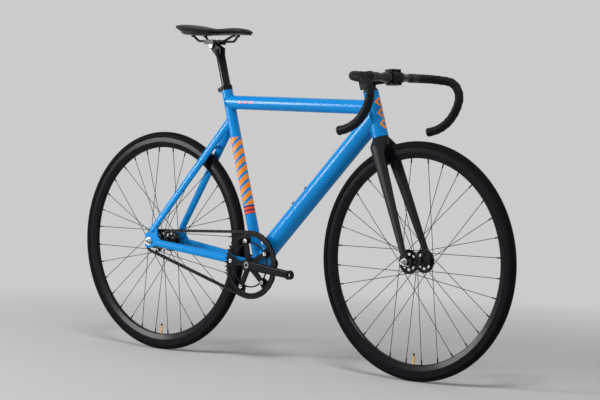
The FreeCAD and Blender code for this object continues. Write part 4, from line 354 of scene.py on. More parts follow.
def head_tube_design(tree, colour, paint):
    """Three open diamonds one above the other on the front of the head tube."""
    turn, along = around_and_along(tree, HEAD_BASE, HEAD_AXIS)
    sideways = calc(tree, "DIVIDE", calc(tree, "ABSOLUTE", turn), DIAMOND_HALF_TURN)
    rise = calc(tree, "SUBTRACT", along, DIAMOND_LOW)
    step = calc(tree, "FRACT", calc(tree, "DIVIDE", rise, DIAMOND_PITCH))
    upright = times(tree, calc(tree, "ABSOLUTE", calc(tree, "SUBTRACT", step, 0.5)), 2.0)
    ring = inside(tree, calc(tree, "ADD", sideways, upright), DIAMOND_INNER, DIAMOND_OUTER)
    zone = inside(tree, along, DIAMOND_LOW, DIAMOND_HIGH)
    return blend_colour(tree, times(tree, ring, zone), colour, paint.stripe_orange)


DASH_PLACES = (-0.172, -0.15, -0.128)
DASH_HALF = 0.007
DASH_HEIGHTS = (0.7628, 0.7688)


def top_tube_design(tree, colour, paint):
    """Three short dashes on each side of the top tube."""
    x, _y, z = split_place(tree, object_place(tree))
    height = inside(tree, z, *DASH_HEIGHTS)
    for place in DASH_PLACES:
        dash = inside(tree, x, place - DASH_HALF, place + DASH_HALF)
        colour = blend_colour(tree, times(tree, dash, height), colour, paint.stripe_red)
    return colour


class BICYCLE_OT_paint_frame(bpy.types.Operator):
    """Paint the frame tubes, stays and rear ends, with the printed designs"""
    bl_idname = "bicycle.paint_frame"
    bl_label = "Paint frame"

    def execute(self, context):
        plain = gloss_paint("frame_blue_gloss")
        dress(plain, "down_tube", "bottom_bracket_shell", "chainstays", "seatstays", "rear_dropouts",
              "stay_bridges")
        dress(gloss_paint("seat_tube_print", seat_tube_design), "seat_tube")
        dress(gloss_paint("head_tube_print", head_tube_design), "head_tube")
        dress(gloss_paint("top_tube_print", top_tube_design), "top_tube")
        return {"FINISHED"}


class BICYCLE_OT_paint_fork(bpy.types.Operator):
    """Paint the fork satin grey"""
    bl_idname = "bicycle.paint_fork"
    bl_label = "Paint fork"

    def execute(self, context):
        dress(satin_paint("fork_satin_grey"), "fork_crown", "fork_tips", "right_fork_blade",
              "left_fork_blade")
        return {"FINISHED"}


# Metal

ALLOY_GLOSS = 0.06
ALLOY_COAT_ROUGHNESS = 0.1
ALLOY_BUMP = 0.05
LATHE_MARKS, LATHE_WEAR = 1800.0, 35.0
LATHE_CHANGES = (-0.05, 0.07)
BLAST_GRAIN, BLAST_WEAR = 1500.0, 30.0
BLAST_CHANGES = (-0.06, 0.08)
POST_COAT = 0.4
NECK_SHARE = 0.12
NECK_LOW, NECK_HIGH = -0.095, -0.045


def ring_place(tree, centre):
    """Distance from an axle, place across it and turn about it, for marks that run round the axle."""
    x, y, z = split_place(tree, local_place(tree, centre, 0.0))
    return calc(tree, "SQRT", square_sum(tree, x, z)), y, calc(tree, "ARCTAN2", z, x)


def limits_about(roughness, changes):
    return [roughness + change for change in changes]


def turned_alloy(name, centre, roughness, coat):
    """Black anodised alloy with the fine rings that a lathe leaves round an axle."""
    finish = bpy.context.scene.bicycle_finish
    material, tree, shader = new_finish(name, coat=coat, coat_roughness=ALLOY_COAT_ROUGHNESS,
                                        gloss=ALLOY_GLOSS)
    radius, across, _turn = ring_place(tree, centre)
    rings = add(tree, "ShaderNodeCombineXYZ", radius, across, 0.0).outputs[0]
    marks = noise(tree, rings, LATHE_MARKS, detail=2.0)
    wear = noise(tree, object_place(tree), LATHE_WEAR)
    colour = mottled(tree, spread(tree, wear), finish.alloy_black, dark=0.8, light=1.5)
    limits = limits_about(roughness, LATHE_CHANGES)
    surface(tree, shader, colour, marks, limits, marks, ALLOY_BUMP, FINE_RELIEF)
    return material


def satin_alloy(name, roughness, coat=0.1):
    """Black anodised alloy with an even bead-blasted grain."""
    finish = bpy.context.scene.bicycle_finish
    material, tree, shader = new_finish(name, coat=coat, coat_roughness=ALLOY_COAT_ROUGHNESS,
                                        gloss=ALLOY_GLOSS)
    place = object_place(tree)
    grain = noise(tree, place, BLAST_GRAIN, detail=1.0)
    wear = noise(tree, place, BLAST_WEAR)
    colour = mottled(tree, spread(tree, wear), finish.alloy_black, dark=0.8, light=1.6)
    limits = limits_about(roughness, BLAST_CHANGES)
    surface(tree, shader, colour, wear, limits, grain, ALLOY_BUMP, FINE_RELIEF)
    return material


def post_alloy(name, roughness):
    """Glossy black alloy on the round seatpost that turns dull towards its flat neck under the saddle."""
    material = satin_alloy(name, roughness)
    tree = material.node_tree
    shader = tree.nodes["Principled BSDF"]
    _turn, along = around_and_along(tree, SADDLE_CENTRE, SEAT_AXIS)
    share = spread(tree, along, 1.0, NECK_SHARE, NECK_LOW, NECK_HIGH)
    feed(tree, shader.inputs["Coat Weight"], times(tree, share, POST_COAT))
    feed(tree, shader.inputs["Specular IOR Level"], times(tree, share, ALLOY_GLOSS))
    return material


CRANK_TURN = math.radians(-6)
RING_BOLT_COUNT = 5
RING_BOLT_CIRCLE = 0.072
RING_SOCKET_RADIUS = 0.0028
CRANK_SOCKET_RADIUS = 0.0044
# Share of the steel's colour left inside bolt sockets: painted shade for their recess.
SOCKET_SHADE_SHARE = 0.02
STEEL_SCRATCHES = 1200.0
STEEL_CHANGES = (-0.06, 0.1)
STEEL_BUMP = 0.04


def ring_bolt_sockets(tree):
    """One inside the sockets of the chainring bolts."""
    distance, _across, turn = ring_place(tree, CRANK_AXLE)
    step = 2 * math.pi / RING_BOLT_COUNT
    turns = calc(tree, "DIVIDE", calc(tree, "SUBTRACT", turn, CRANK_TURN), step)
    from_bolt = times(tree, calc(tree, "SUBTRACT", calc(tree, "FRACT", turns), 0.5), step)
    reach = times(tree, distance, calc(tree, "COSINE", from_bolt))
    outward = calc(tree, "SUBTRACT", reach, RING_BOLT_CIRCLE)
    sideways = times(tree, distance, calc(tree, "SINE", from_bolt))
    return calc(tree, "LESS_THAN", square_sum(tree, outward, sideways), RING_SOCKET_RADIUS ** 2)


def crank_bolt_sockets(tree):
    """One inside the sockets of the crank bolts."""
    distance, _across, _turn = ring_place(tree, CRANK_AXLE)
    return calc(tree, "LESS_THAN", distance, CRANK_SOCKET_RADIUS)


def steel(name, colour, roughness, variation=0.3, scale=80.0, sockets=None):
    """Bare or blackened steel with scratches and small stains, and painted shade in the recesses of its
    sockets.
    """
    material, tree, shader = new_finish(name, metallic=1.0)
    place = object_place(tree)
    stains = noise(tree, place, scale, detail=4.0)
    scratches = noise(tree, place, STEEL_SCRATCHES, detail=1.0)
    tone = mottled(tree, spread(tree, stains), colour, dark=1 - variation, light=1)
    if sockets:
        # Painted shade: the socket recesses are darkened to a small share of the steel's colour.
        tone = blend_colour(tree, sockets(tree), tone, shade(colour, SOCKET_SHADE_SHARE))
    limits = limits_about(roughness, STEEL_CHANGES)
    surface(tree, shader, tone, stains, limits, scratches, STEEL_BUMP, FINE_RELIEF)
    return material


class BICYCLE_OT_finish_alloy(bpy.types.Operator):
    """Finish the rims, hubs, cranks, seatpost, stem and bar in black"""
    bl_idname = "bicycle.finish_alloy"
    bl_label = "Finish black alloy"

    def execute(self, context):
        for end, axle in WHEELS.items():
            dress(turned_alloy(f"{end}_rim_black", axle, roughness=0.24, coat=0.08), f"{end}_rim")
            dress(turned_alloy(f"{end}_hub_black", axle, roughness=0.2, coat=0.5), f"{end}_hub")
        dress(turned_alloy("chainring_black", CRANK_AXLE, roughness=0.34, coat=0.06), "chainring")
        dress(satin_alloy("crank_black", roughness=0.36, coat=0.04), "right_crank", "left_crank",
              "bottom_bracket_cartridge")
        dress(post_alloy("seatpost_black", roughness=0.14), "seatpost")
        dress(satin_alloy("stem_black", roughness=0.32), "stem", "stem_faceplate", "headset_cover",
              "steerer_cap", "seat_clamp", "saddle_clamp")
        dress(satin_alloy("bar_black", roughness=0.24, coat=0.6), "handlebar")
        return {"FINISHED"}


class BICYCLE_OT_finish_steel(bpy.types.Operator):
    """Finish the axles, nuts, bolts, spokes, chain and cog"""
    bl_idname = "bicycle.finish_steel"
    bl_label = "Finish steel"

    def execute(self, context):
        finish = context.scene.bicycle_finish
        bright = finish.steel_bright
        dress(steel("bright_steel", bright, roughness=0.24), "headset_bearings", "rear_axle_nuts",
              "front_axle_nuts", "bottom_bracket_spindle", "rear_hub_bearings", "front_hub_bearings",
              "saddle_clamp_bolts", "steerer_tube")
        dress(steel("axle_steel", shade(bright, 0.35), roughness=0.3), "rear_axle", "front_axle")
        dress(steel("ring_bolt_steel", bright, roughness=0.22, sockets=ring_bolt_sockets),
              "chainring_bolts")
        dress(steel("crank_bolt_steel", shade(bright, 0.25), roughness=0.3, sockets=crank_bolt_sockets),
              "crank_bolts")
        dress(steel("dark_steel", finish.steel_dark, roughness=0.35), "frame_bolts", "stem_bolts",
              "saddle_rails", "cog_lockring", "front_spokes", "rear_spokes", "front_spoke_nipples",
              "rear_spoke_nipples")
        dress(steel("oiled_chain", finish.chain_grey, roughness=0.36, variation=0.5, scale=240.0), "chain")
        dress(steel("cog_steel", shade(bright, 0.45), roughness=0.3), "rear_cog")
        return {"FINISHED"}


# Rubber and plastic

TREAD_RADIUS = 0.3285
TREAD_ANGLE_COUNT = 900
TREAD_ROWS = 900.0
RIB_COUNT = 320
RIB_SHARE = 0.35
WEAR_RADIUS = 0.3325
WEAR_SHARE = 0.35
WEAR_TONE = 2.2
TYRE_DUST = 45.0
TYRE_ROUGHNESS = (0.5, 0.66)
TYRE_BUMP = 0.25


def tyre_rubber(name, centre):
    """Slick tyre rubber: a fine file tread on the crown, faint ribs on the side walls, a little dust."""
    finish = bpy.context.scene.bicycle_finish
    material, tree, shader = new_finish(name, gloss=0.04)
    radius, across, turn = ring_place(tree, centre)
    tread = calc(tree, "GREATER_THAN", radius, TREAD_RADIUS)
    row = times(tree, across, TREAD_ROWS)
    column = times(tree, turn, TREAD_ANGLE_COUNT)
    first = calc(tree, "SINE", calc(tree, "ADD", column, row))
    second = calc(tree, "SINE", calc(tree, "SUBTRACT", column, row))
    ribs = calc(tree, "SINE", times(tree, turn, RIB_COUNT))
    side_ribs = times(tree, ribs, RIB_SHARE, calc(tree, "SUBTRACT", 1.0, tread))
    relief = calc(tree, "ADD", times(tree, first, second, tread), side_ribs)
    dust = noise(tree, object_place(tree), TYRE_DUST, detail=5.0)
    dusty = mottled(tree, spread(tree, dust), finish.tyre_black, dark=0.85, light=1.4)
    worn = times(tree, calc(tree, "GREATER_THAN", radius, WEAR_RADIUS), WEAR_SHARE)
    colour = blend_colour(tree, worn, dusty, shade(finish.tyre_black, WEAR_TONE))
    surface(tree, shader, colour, dust, TYRE_ROUGHNESS, relief, TYRE_BUMP)
    return material


VALVE_START = 0.2875
CAP_START = 0.263
VALVE_THREAD = 7800.0
TUBE_GRAIN = 400.0
TUBE_ROUGHNESS = (0.3, 0.42)
TUBE_BUMP = 0.3


def tube_rubber(name, centre):
    """Inner tube rubber, its valve stem brass with a black cap."""
    finish = bpy.context.scene.bicycle_finish
    material, tree, shader = new_finish(name)
    radius, _across, _turn = ring_place(tree, centre)
    stem = inside(tree, radius, CAP_START, VALVE_START)
    grain = noise(tree, object_place(tree), TUBE_GRAIN)
    rubber = mottled(tree, grain, finish.tyre_black, dark=0.8, light=1.5)
    colour = blend_colour(tree, stem, rubber, finish.brass)
    ridges = times(tree, calc(tree, "SINE", times(tree, radius, VALVE_THREAD)), stem)
    feed(tree, shader.inputs["Metallic"], stem)
    surface(tree, shader, colour, grain, TUBE_ROUGHNESS, ridges, TUBE_BUMP)
    return material


PLASTIC_GRAIN, PLASTIC_PATCHES = 900.0, 50.0
PLASTIC_ROUGHNESS = (0.42, 0.55)
PLASTIC_BUMP = 0.2


def grained_plastic(name):
    """Black moulded plastic with a fine leathery grain."""
    finish = bpy.context.scene.bicycle_finish
    material, tree, shader = new_finish(name, gloss=0.3)
    place = object_place(tree)
    grain = noise(tree, place, PLASTIC_GRAIN, detail=2.0)
    patches = noise(tree, place, PLASTIC_PATCHES)
    colour = mottled(tree, patches, finish.tyre_black, dark=0.8, light=1.6)
    surface(tree, shader, colour, patches, PLASTIC_ROUGHNESS, grain, PLASTIC_BUMP, FINE_RELIEF)
    return material


class BICYCLE_OT_fit_rubber(bpy.types.Operator):
    """Finish the tyres and inner tubes, the saddle shell and the bar end plugs"""
    bl_idname = "bicycle.fit_rubber"
    bl_label = "Fit rubber"

    def execute(self, context):
        for end, axle in WHEELS.items():
            dress(tyre_rubber(f"{end}_tyre_rubber", axle), f"{end}_tyre")
            dress(tube_rubber(f"{end}_tube_rubber", axle), f"{end}_inner_tube")
        dress(grained_plastic("moulded_plastic"), "saddle_shell", "bar_end_plugs")
        return {"FINISHED"}


# Pieces made here

def placed(name, data):
    """A new object in the scene."""
    made = bpy.data.objects.new(name, data)
    bpy.context.scene.collection.objects.link(made)
    return made


def keep_piece(name, mesh, body, replaces=()):
    """Links a finished mesh as a piece that rides on a body."""
    piece = placed(name, mesh)
    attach(piece, body)
    if replaces:
        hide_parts(*replaces)
    return piece


def smooth_mesh(name, work):
    """A smooth mesh from a working one, which is freed."""
    mesh = bpy.data.meshes.new(name)
    work.to_mesh(mesh)
    work.free()
    for polygon in mesh.polygons:
        polygon.use_smooth = True
    return mesh


def poly_curve(name, points, bends=None, cyclic=False):
    """A curve object through points, each point's radius holding the bend there."""
    curve = bpy.data.curves.new(name, "CURVE")
    curve.dimensions = "3D"
    spline = curve.splines.new("POLY")
    spline.points.add(len(points) - 1)
    for index, point in enumerate(points):
        spline.points[index].co = (*point, 1)
        spline.points[index].radius = bends[index] if bends else 1.0
    spline.use_cyclic_u = cyclic
    return placed(name, curve)


def grown(source, tree, values):
    """The plain mesh that a node tree makes from a source object, which is then removed."""
    modifier = source.modifiers.new(tree.name, "NODES")
    modifier.node_group = tree
    for item in tree.interface.items_tree:
        if item.item_type == "SOCKET" and item.in_out == "INPUT" and item.name in values:
            modifier[item.identifier] = values[item.name]
    graph = bpy.context.evaluated_depsgraph_get()
    mesh = bpy.data.meshes.new_from_object(source.evaluated_get(graph), depsgraph=graph)
    source.modifiers.clear()
    bpy.data.objects.remove(source)
    return mesh


def new_tree(name, *sizes):
    """A geometry tree with named sizes and a material; returns it, its group input and its group output."""
    tree = bpy.data.node_groups.new(name, "GeometryNodeTree")
    tree.interface.new_socket("Geometry", in_out="INPUT", socket_type="NodeSocketGeometry")
    for label in sizes:
        tree.interface.new_socket(label, in_out="INPUT", socket_type="NodeSocketFloat")
    tree.interface.new_socket("Material", in_out="INPUT", socket_type="NodeSocketMaterial")
    tree.interface.new_socket("Geometry", in_out="OUTPUT", socket_type="NodeSocketGeometry")
    return tree, tree.nodes.new("NodeGroupInput"), tree.nodes.new("NodeGroupOutput")


def close_tree(tree, geometry, material, output):
    """Ends a tree: instances made real, faces smooth, the material set."""
    real = named(tree, "GeometryNodeRealizeInstances", {"Geometry": geometry})
    soft = named(tree, "GeometryNodeSetShadeSmooth", {0: real.outputs[0]})
    painted = named(tree, "GeometryNodeSetMaterial", {"Geometry": soft.outputs[0], "Material": material})
    tree.links.new(painted.outputs[0], output.inputs[0])


# Welds

TOP_TUBE_REAR = CRANK_AXLE + SEAT_AXIS * 0.4975
TOP_TUBE_FRONT = HEAD_BASE + HEAD_AXIS * 0.088
DOWN_TUBE_LOW = CRANK_AXLE + Vector((0, 0, 0.0134))
DOWN_TUBE_HIGH = HEAD_BASE + HEAD_AXIS * 0.06
SEATSTAY_ROOT = CRANK_AXLE + SEAT_AXIS * 0.444
SEATSTAY_END = REAR_AXLE + Vector((0.015, 0, 0.0375))
CHAINSTAY_END = REAR_AXLE + Vector((0.038, 0, -0.0045))
SEATSTAY_SPREADS = (0.0075, 0.0635)
CHAINSTAY_SPREADS = (0.0185, 0.0625)
STAY_HALF_HEIGHT = 0.0135
SEATSTAY_HALF_WIDTH = 0.007
CHAINSTAY_HALF_WIDTH = 0.0075
TOP_TUBE_RADIUS = 0.0205
DOWN_TUBE_RADIUS = 0.02825
DOWN_TUBE_FOOT_HALF = 0.019
SEAT_TUBE_RADIUS = 0.0165
HEAD_TUBE_RADIUS = 0.0228
SHELL_RADIUS = 0.022
STAY_END_HALF_HEIGHT = 0.011
STAY_END_HALF_WIDTH = 0.0065
STAY_END_REACH = 0.012
STAY_END_SEGMENTS = 32
CROSSWISE = Vector((0, 1, 0))
WELD_POINTS = 96
WELD_RING = 12


def tube_axes(start, end):
    """Directions along a tube, upward from it and sideways from it."""
    run = (end - start).normalized()
    upward = CROSSWISE.cross(run).normalized()
    return run, upward, run.cross(upward)


def meeting_ring(start, end, high, wide, centre, axis, radius):
    """Where an oval tube that starts inside a round tube comes out through that tube's wall."""
    run, upward, sideways = tube_axes(start, end)
    across_run = run - axis * run.dot(axis)
    ring = []
    for step in range(WELD_POINTS):
        angle = 2 * math.pi * step / WELD_POINTS
        edge = start + upward * (high * math.cos(angle)) + sideways * (wide * math.sin(angle))
        offset = edge - centre
        offset -= axis * offset.dot(axis)
        half = offset.dot(across_run)
        room = half * half - across_run.length_squared * (offset.length_squared - radius * radius)
        travel = (math.sqrt(max(room, 0.0)) - half) / across_run.length_squared
        ring.append(edge + run * travel)
    return ring


def stay_lines(kind):
    """The middle line of each stay of a kind, from its root to its end, by name."""
    places = {
        "seatstay": (SEATSTAY_ROOT, SEATSTAY_END, SEATSTAY_SPREADS),
        "chainstay": (CRANK_AXLE, CHAINSTAY_END, CHAINSTAY_SPREADS),
    }
    root, end, spreads = places[kind]
    lines = {}
    for name, side in SIDES.items():
        root_y, end_y = (CROSSWISE * (side * reach) for reach in spreads)
        lines[f"{name}_{kind}"] = (root + root_y, end + end_y)
    return lines


def weld_rings():
    """Every welded joint of the frame, by name."""
    seat_tube = (CRANK_AXLE, SEAT_AXIS, SEAT_TUBE_RADIUS)
    head_tube = (HEAD_BASE, HEAD_AXIS, HEAD_TUBE_RADIUS)
    shell = (CRANK_AXLE, CROSSWISE, SHELL_RADIUS)
    top, down, seat = TOP_TUBE_RADIUS, DOWN_TUBE_RADIUS, SEAT_TUBE_RADIUS
    rings = {
        "top_tube_rear": meeting_ring(TOP_TUBE_REAR, TOP_TUBE_FRONT, top, top, *seat_tube),
        "top_tube_front": meeting_ring(TOP_TUBE_FRONT, TOP_TUBE_REAR, top, top, *head_tube),
        "down_tube_front": meeting_ring(DOWN_TUBE_HIGH, DOWN_TUBE_LOW, down, down, *head_tube),
        "down_tube_foot": meeting_ring(DOWN_TUBE_LOW, DOWN_TUBE_HIGH, DOWN_TUBE_FOOT_HALF, down, *shell),
        "seat_tube_foot": meeting_ring(CRANK_AXLE, CRANK_AXLE + SEAT_AXIS, seat, seat, *shell),
    }
    for name, (root, end) in stay_lines("seatstay").items():
        rings[name] = meeting_ring(root, end, STAY_HALF_HEIGHT, SEATSTAY_HALF_WIDTH, *seat_tube)
    for name, (root, end) in stay_lines("chainstay").items():
        rings[name] = meeting_ring(root, end, STAY_HALF_HEIGHT, CHAINSTAY_HALF_WIDTH, *shell)
    return rings


def stay_cap(name, root, end):
    """The rounded end of a stay, closing it round its end plate."""
    run, upward, sideways = tube_axes(root, end)
    axes = (upward * STAY_END_HALF_HEIGHT, sideways * STAY_END_HALF_WIDTH, run * STAY_END_REACH)
    place = Matrix.Translation(end) @ Matrix(axes).transposed().to_4x4()
    work = bmesh.new()
    bmesh.ops.create_uvsphere(work, u_segments=STAY_END_SEGMENTS, v_segments=STAY_END_SEGMENTS // 2,
                              radius=1.0, matrix=place)
    return smooth_mesh(name, work)


def weld_tree():
    """A smooth bead along a path."""
    tree, entry, output = new_tree("weld_bead", "Radius")
    plain = named(tree, "GeometryNodeSetCurveRadius", {"Curve": entry.outputs["Geometry"], "Radius": 1.0})
    circle = named(tree, "GeometryNodeCurvePrimitiveCircle", {
        "Resolution": WELD_RING, "Radius": entry.outputs["Radius"]})
    bead = named(tree, "GeometryNodeCurveToMesh", {
        "Curve": plain.outputs[0], "Profile Curve": circle.outputs[0]})
    close_tree(tree, bead.outputs[0], entry.outputs["Material"], output)
    return tree


class BICYCLE_OT_weld_frame(bpy.types.Operator):
    """Run a smoothed weld round each joint of the frame and round off the ends of the stays"""
    bl_idname = "bicycle.weld_frame"
    bl_label = "Weld frame"

    def execute(self, context):
        tree = weld_tree()
        paint = gloss_paint("weld_blue_gloss")
        values = {"Radius": context.scene.bicycle_trim.weld_radius, "Material": paint}
        for name, ring in weld_rings().items():
            path = poly_curve(f"{name}_weld_path", ring, cyclic=True)
            keep_piece(f"{name}_weld", grown(path, tree, values), "frame")
        for name, (root, end) in (stay_lines("seatstay") | stay_lines("chainstay")).items():
            mesh = stay_cap(f"{name}_end", root, end)
            mesh.materials.append(paint)
            keep_piece(f"{name}_end", mesh, "frame")
        return {"FINISHED"}


# Bar tape

TAPE_RING = 36
TAPE_SPACING = 0.0011
TAPE_RISE_SHARE = 0.9
BEND_POINTS = 16
BAR_HALF_WIDTH = 0.203
BAR_START = 0.074
BAR_ROUTE = ((0.096, -0.013), (0.0565, -0.1345), (-0.021, -0.1516))
BAR_BENDS = (0.039, 0.047, 0.12)


def stored(tree, geometry, name, value):
    """A geometry that keeps a value at each of its points under a name."""
    inputs = {"Geometry": geometry, "Name": name, "Value": value}
    return named(tree, "GeometryNodeStoreNamedAttribute", inputs,
                 data_type="FLOAT", domain="POINT").outputs[0]


def recalled(tree, name):
    return named(tree, "GeometryNodeInputNamedAttribute", {"Name": name}, data_type="FLOAT").outputs[0]


def tape_tree():
    """Tape wound along a path: a tube whose wall steps up once in every turn of the winding."""
    tree, entry, output = new_tree("bar_tape_winding", "Radius", "Pitch", "Step", "Hand")
    given = entry.outputs
    bend = add(tree, "GeometryNodeInputRadius").outputs[0]
    path = named(tree, "GeometryNodeFilletCurve", {
        "Curve": given["Geometry"], "Count": BEND_POINTS, "Radius": bend}, mode="POLY")
    even = named(tree, "GeometryNodeResampleCurve", {
        "Curve": path.outputs[0], "Length": TAPE_SPACING}, mode="LENGTH")
    plain = named(tree, "GeometryNodeSetCurveRadius", {"Curve": even.outputs[0], "Radius": 1.0})
    spot = add(tree, "GeometryNodeSplineParameter").outputs
    route = stored(tree, plain.outputs[0], "tape_run", spot["Length"])
    circle = named(tree, "GeometryNodeCurvePrimitiveCircle", {
        "Resolution": TAPE_RING, "Radius": calc(tree, "SUBTRACT", given["Radius"], given["Step"])})
    profile = stored(tree, circle.outputs[0], "tape_turn", spot["Factor"])
    tube = named(tree, "GeometryNodeCurveToMesh", {
        "Curve": route, "Profile Curve": profile, "Fill Caps": True})
    advance = calc(tree, "DIVIDE", recalled(tree, "tape_run"), given["Pitch"])
    turn = times(tree, recalled(tree, "tape_turn"), given["Hand"])
    phase = calc(tree, "FRACT", calc(tree, "ADD", advance, turn))
    rising = calc(tree, "DIVIDE", phase, TAPE_RISE_SHARE)
    falling = calc(tree, "DIVIDE", calc(tree, "SUBTRACT", 1.0, phase), 1.0 - TAPE_RISE_SHARE)
    height = times(tree, calc(tree, "MINIMUM", rising, falling), given["Step"])
    outward = add(tree, "GeometryNodeInputNormal").outputs[0]
    offset = named(tree, "ShaderNodeVectorMath", {0: outward, "Scale": height}, operation="SCALE")
    wound = named(tree, "GeometryNodeSetPosition", {
        "Geometry": tube.outputs[0], "Offset": offset.outputs[0]})
    close_tree(tree, wound.outputs[0], given["Material"], output)
    return tree


TAPE_GRAIN, TAPE_PATCHES, TAPE_FLECKS = 650.0, 40.0, 420.0
FLECK_SHARE = 0.6
FLECK_START, FLECK_END = 0.58, 0.72
FLECK_TONE = 2.4
TAPE_ROUGHNESS = (0.46, 0.6)
TAPE_BUMP = 0.35


def tape_cloth():
    """Cushioned bar tape: a fine cork-like grain with pale flecks."""
    finish = bpy.context.scene.bicycle_finish
    material, tree, shader = new_finish("bar_tape_black", gloss=0.14)
    place = object_place(tree)
    grain = noise(tree, place, TAPE_GRAIN)
    patches = noise(tree, place, TAPE_PATCHES)
    specks = noise(tree, place, TAPE_FLECKS, detail=1.0)
    flecks = spread(tree, specks, 0.0, FLECK_SHARE, FLECK_START, FLECK_END)
    base = mottled(tree, spread(tree, patches), finish.tape_black, dark=0.8, light=1.5)
    colour = blend_colour(tree, flecks, base, shade(finish.tape_black, FLECK_TONE))
    surface(tree, shader, colour, patches, TAPE_ROUGHNESS, grain, TAPE_BUMP)
    return material


def bar_points(side):
    """The route of one half of the bar from the start of its tape to its end."""
    y = side * BAR_HALF_WIDTH
    points = [Vector((0, side * BAR_START, 0)), Vector((0, y, 0))]
    points += [Vector((x, y, z)) for x, z in BAR_ROUTE]
    return [BAR_CENTRE + point for point in points]


BAND_START, BAND_END = 0.0725, 0.104
BAND_RADIUS = 0.0133
BAND_PULLS = 120.0
BAND_STRETCH = 9.0
BAND_ROUGHNESS = (0.26, 0.4)
BAND_BUMP = 0.12


def band_points(side):
    """The stretch of bar under the band that holds the start of the tape."""
    return [BAR_CENTRE + Vector((0, side * place, 0)) for place in (BAND_START, BAND_END)]


def band_vinyl():
    """Stretched black vinyl band with a soft gloss and fine pulls round the bar."""
    finish = bpy.context.scene.bicycle_finish
    material, tree, shader = new_finish("finishing_band_black", gloss=0.4)
    x, y, z = split_place(tree, object_place(tree))
    stretched = add(tree, "ShaderNodeCombineXYZ", x, times(tree, y, BAND_STRETCH), z).outputs[0]
    pulls = noise(tree, stretched, BAND_PULLS)
    colour = mottled(tree, pulls, finish.tape_black, dark=0.7, light=1.4)
    surface(tree, shader, colour, pulls, BAND_ROUGHNESS, pulls, BAND_BUMP)
    return material


class BICYCLE_OT_wrap_bar(bpy.types.Operator):
    """Wind the tape and its finishing bands round both halves of the handlebar"""
    bl_idname = "bicycle.wrap_bar"
    bl_label = "Wrap bar"

    def execute(self, context):
        trim = context.scene.bicycle_trim
        tree = tape_tree()
        tape = {"Radius": trim.tape_radius, "Pitch": trim.tape_pitch, "Step": trim.tape_step,
                "Material": tape_cloth()}
        band = {"Radius": BAND_RADIUS, "Pitch": trim.band_pitch, "Step": trim.band_step,
                "Material": band_vinyl()}
        for name, side in SIDES.items():
            hand = {"Hand": float(side)}
            path = poly_curve(f"{name}_tape_path", bar_points(side), (0, *BAR_BENDS, 0))
            keep_piece(f"{name}_wound_tape", grown(path, tree, tape | hand), "handlebar",
                       [f"{name}_bar_tape"])
            path = poly_curve(f"{name}_band_path", band_points(side))
            keep_piece(f"{name}_finishing_band", grown(path, tree, band | hand), "handlebar")
        return {"FINISHED"}


# Saddle

SADDLE_REAR = -0.123
SADDLE_LENGTH = 0.267
SADDLE_HALF_WIDTH = 0.07
SADDLE_BASE = 0.014
SADDLE_RISE = 0.051
SADDLE_DEPTH = 0.028
# Stations from tail to nose: share of length, half width, rise and depth, and drop of the shoulders.
SADDLE_STATIONS = (
    (0.0, 0.5, 0.93, 0.5, 0.2),
    (0.04, 0.8, 0.99, 0.75, 0.3),
    (0.14, 1.0, 0.97, 0.95, 0.42),
    (0.28, 0.93, 0.87, 0.78, 0.4),
    (0.42, 0.62, 0.77, 0.58, 0.32),
    (0.56, 0.38, 0.745, 0.54, 0.26),
    (0.76, 0.29, 0.79, 0.6, 0.22),
    (0.93, 0.25, 0.715, 0.49, 0.2),
    (1.0, 0.14, 0.58, 0.24, 0.08),
)
SADDLE_RINGS = 90
SADDLE_SKIRT = 0.58
CROWN_POWER = 0.8
SKIRT_POWER = 1.6
SADDLE_TOP_POINTS = 28
SADDLE_SIDE_POINTS = 10
SADDLE_BASE_POINTS = 10
GROOVE_DEPTH = 0.0022
GROOVE_WIDTH = 0.007
GROOVE_START, GROOVE_END = 0.16, 0.8
SEAM_STEPS = (4, SADDLE_TOP_POINTS - 4)
SEAM_START, SEAM_END = 0.07, 0.92
SEAM_POINTS = 80
SEAM_DIP = 0.0005


def station_at(share):
    """Saddle sizes at a place along it, on a smooth curve through the stations."""
    places = [row[0] for row in SADDLE_STATIONS]
    last = len(places) - 2
    index = min(max(sum(1 for place in places if place <= share) - 1, 0), last)
    before, after = SADDLE_STATIONS[index], SADDLE_STATIONS[index + 1]
    span = after[0] - before[0]
    t = (share - before[0]) / span
    sizes = []
    for column in range(1, len(before)):
        slopes = [station_slope(row, column) * span for row in (index, index + 1)]
        sizes.append(hermite(t, before[column], after[column], *slopes))
    return sizes


def station_slope(index, column):
    low = max(index - 1, 0)
    high = min(index + 1, len(SADDLE_STATIONS) - 1)
    rise = SADDLE_STATIONS[high][column] - SADDLE_STATIONS[low][column]
    return rise / (SADDLE_STATIONS[high][0] - SADDLE_STATIONS[low][0])


def hermite(t, first, second, first_slope, second_slope):
    square = t * t
    cube = square * t
    return ((2 * cube - 3 * square + 1) * first + (cube - 2 * square + t) * first_slope
            + (3 * square - 2 * cube) * second + (cube - square) * second_slope)


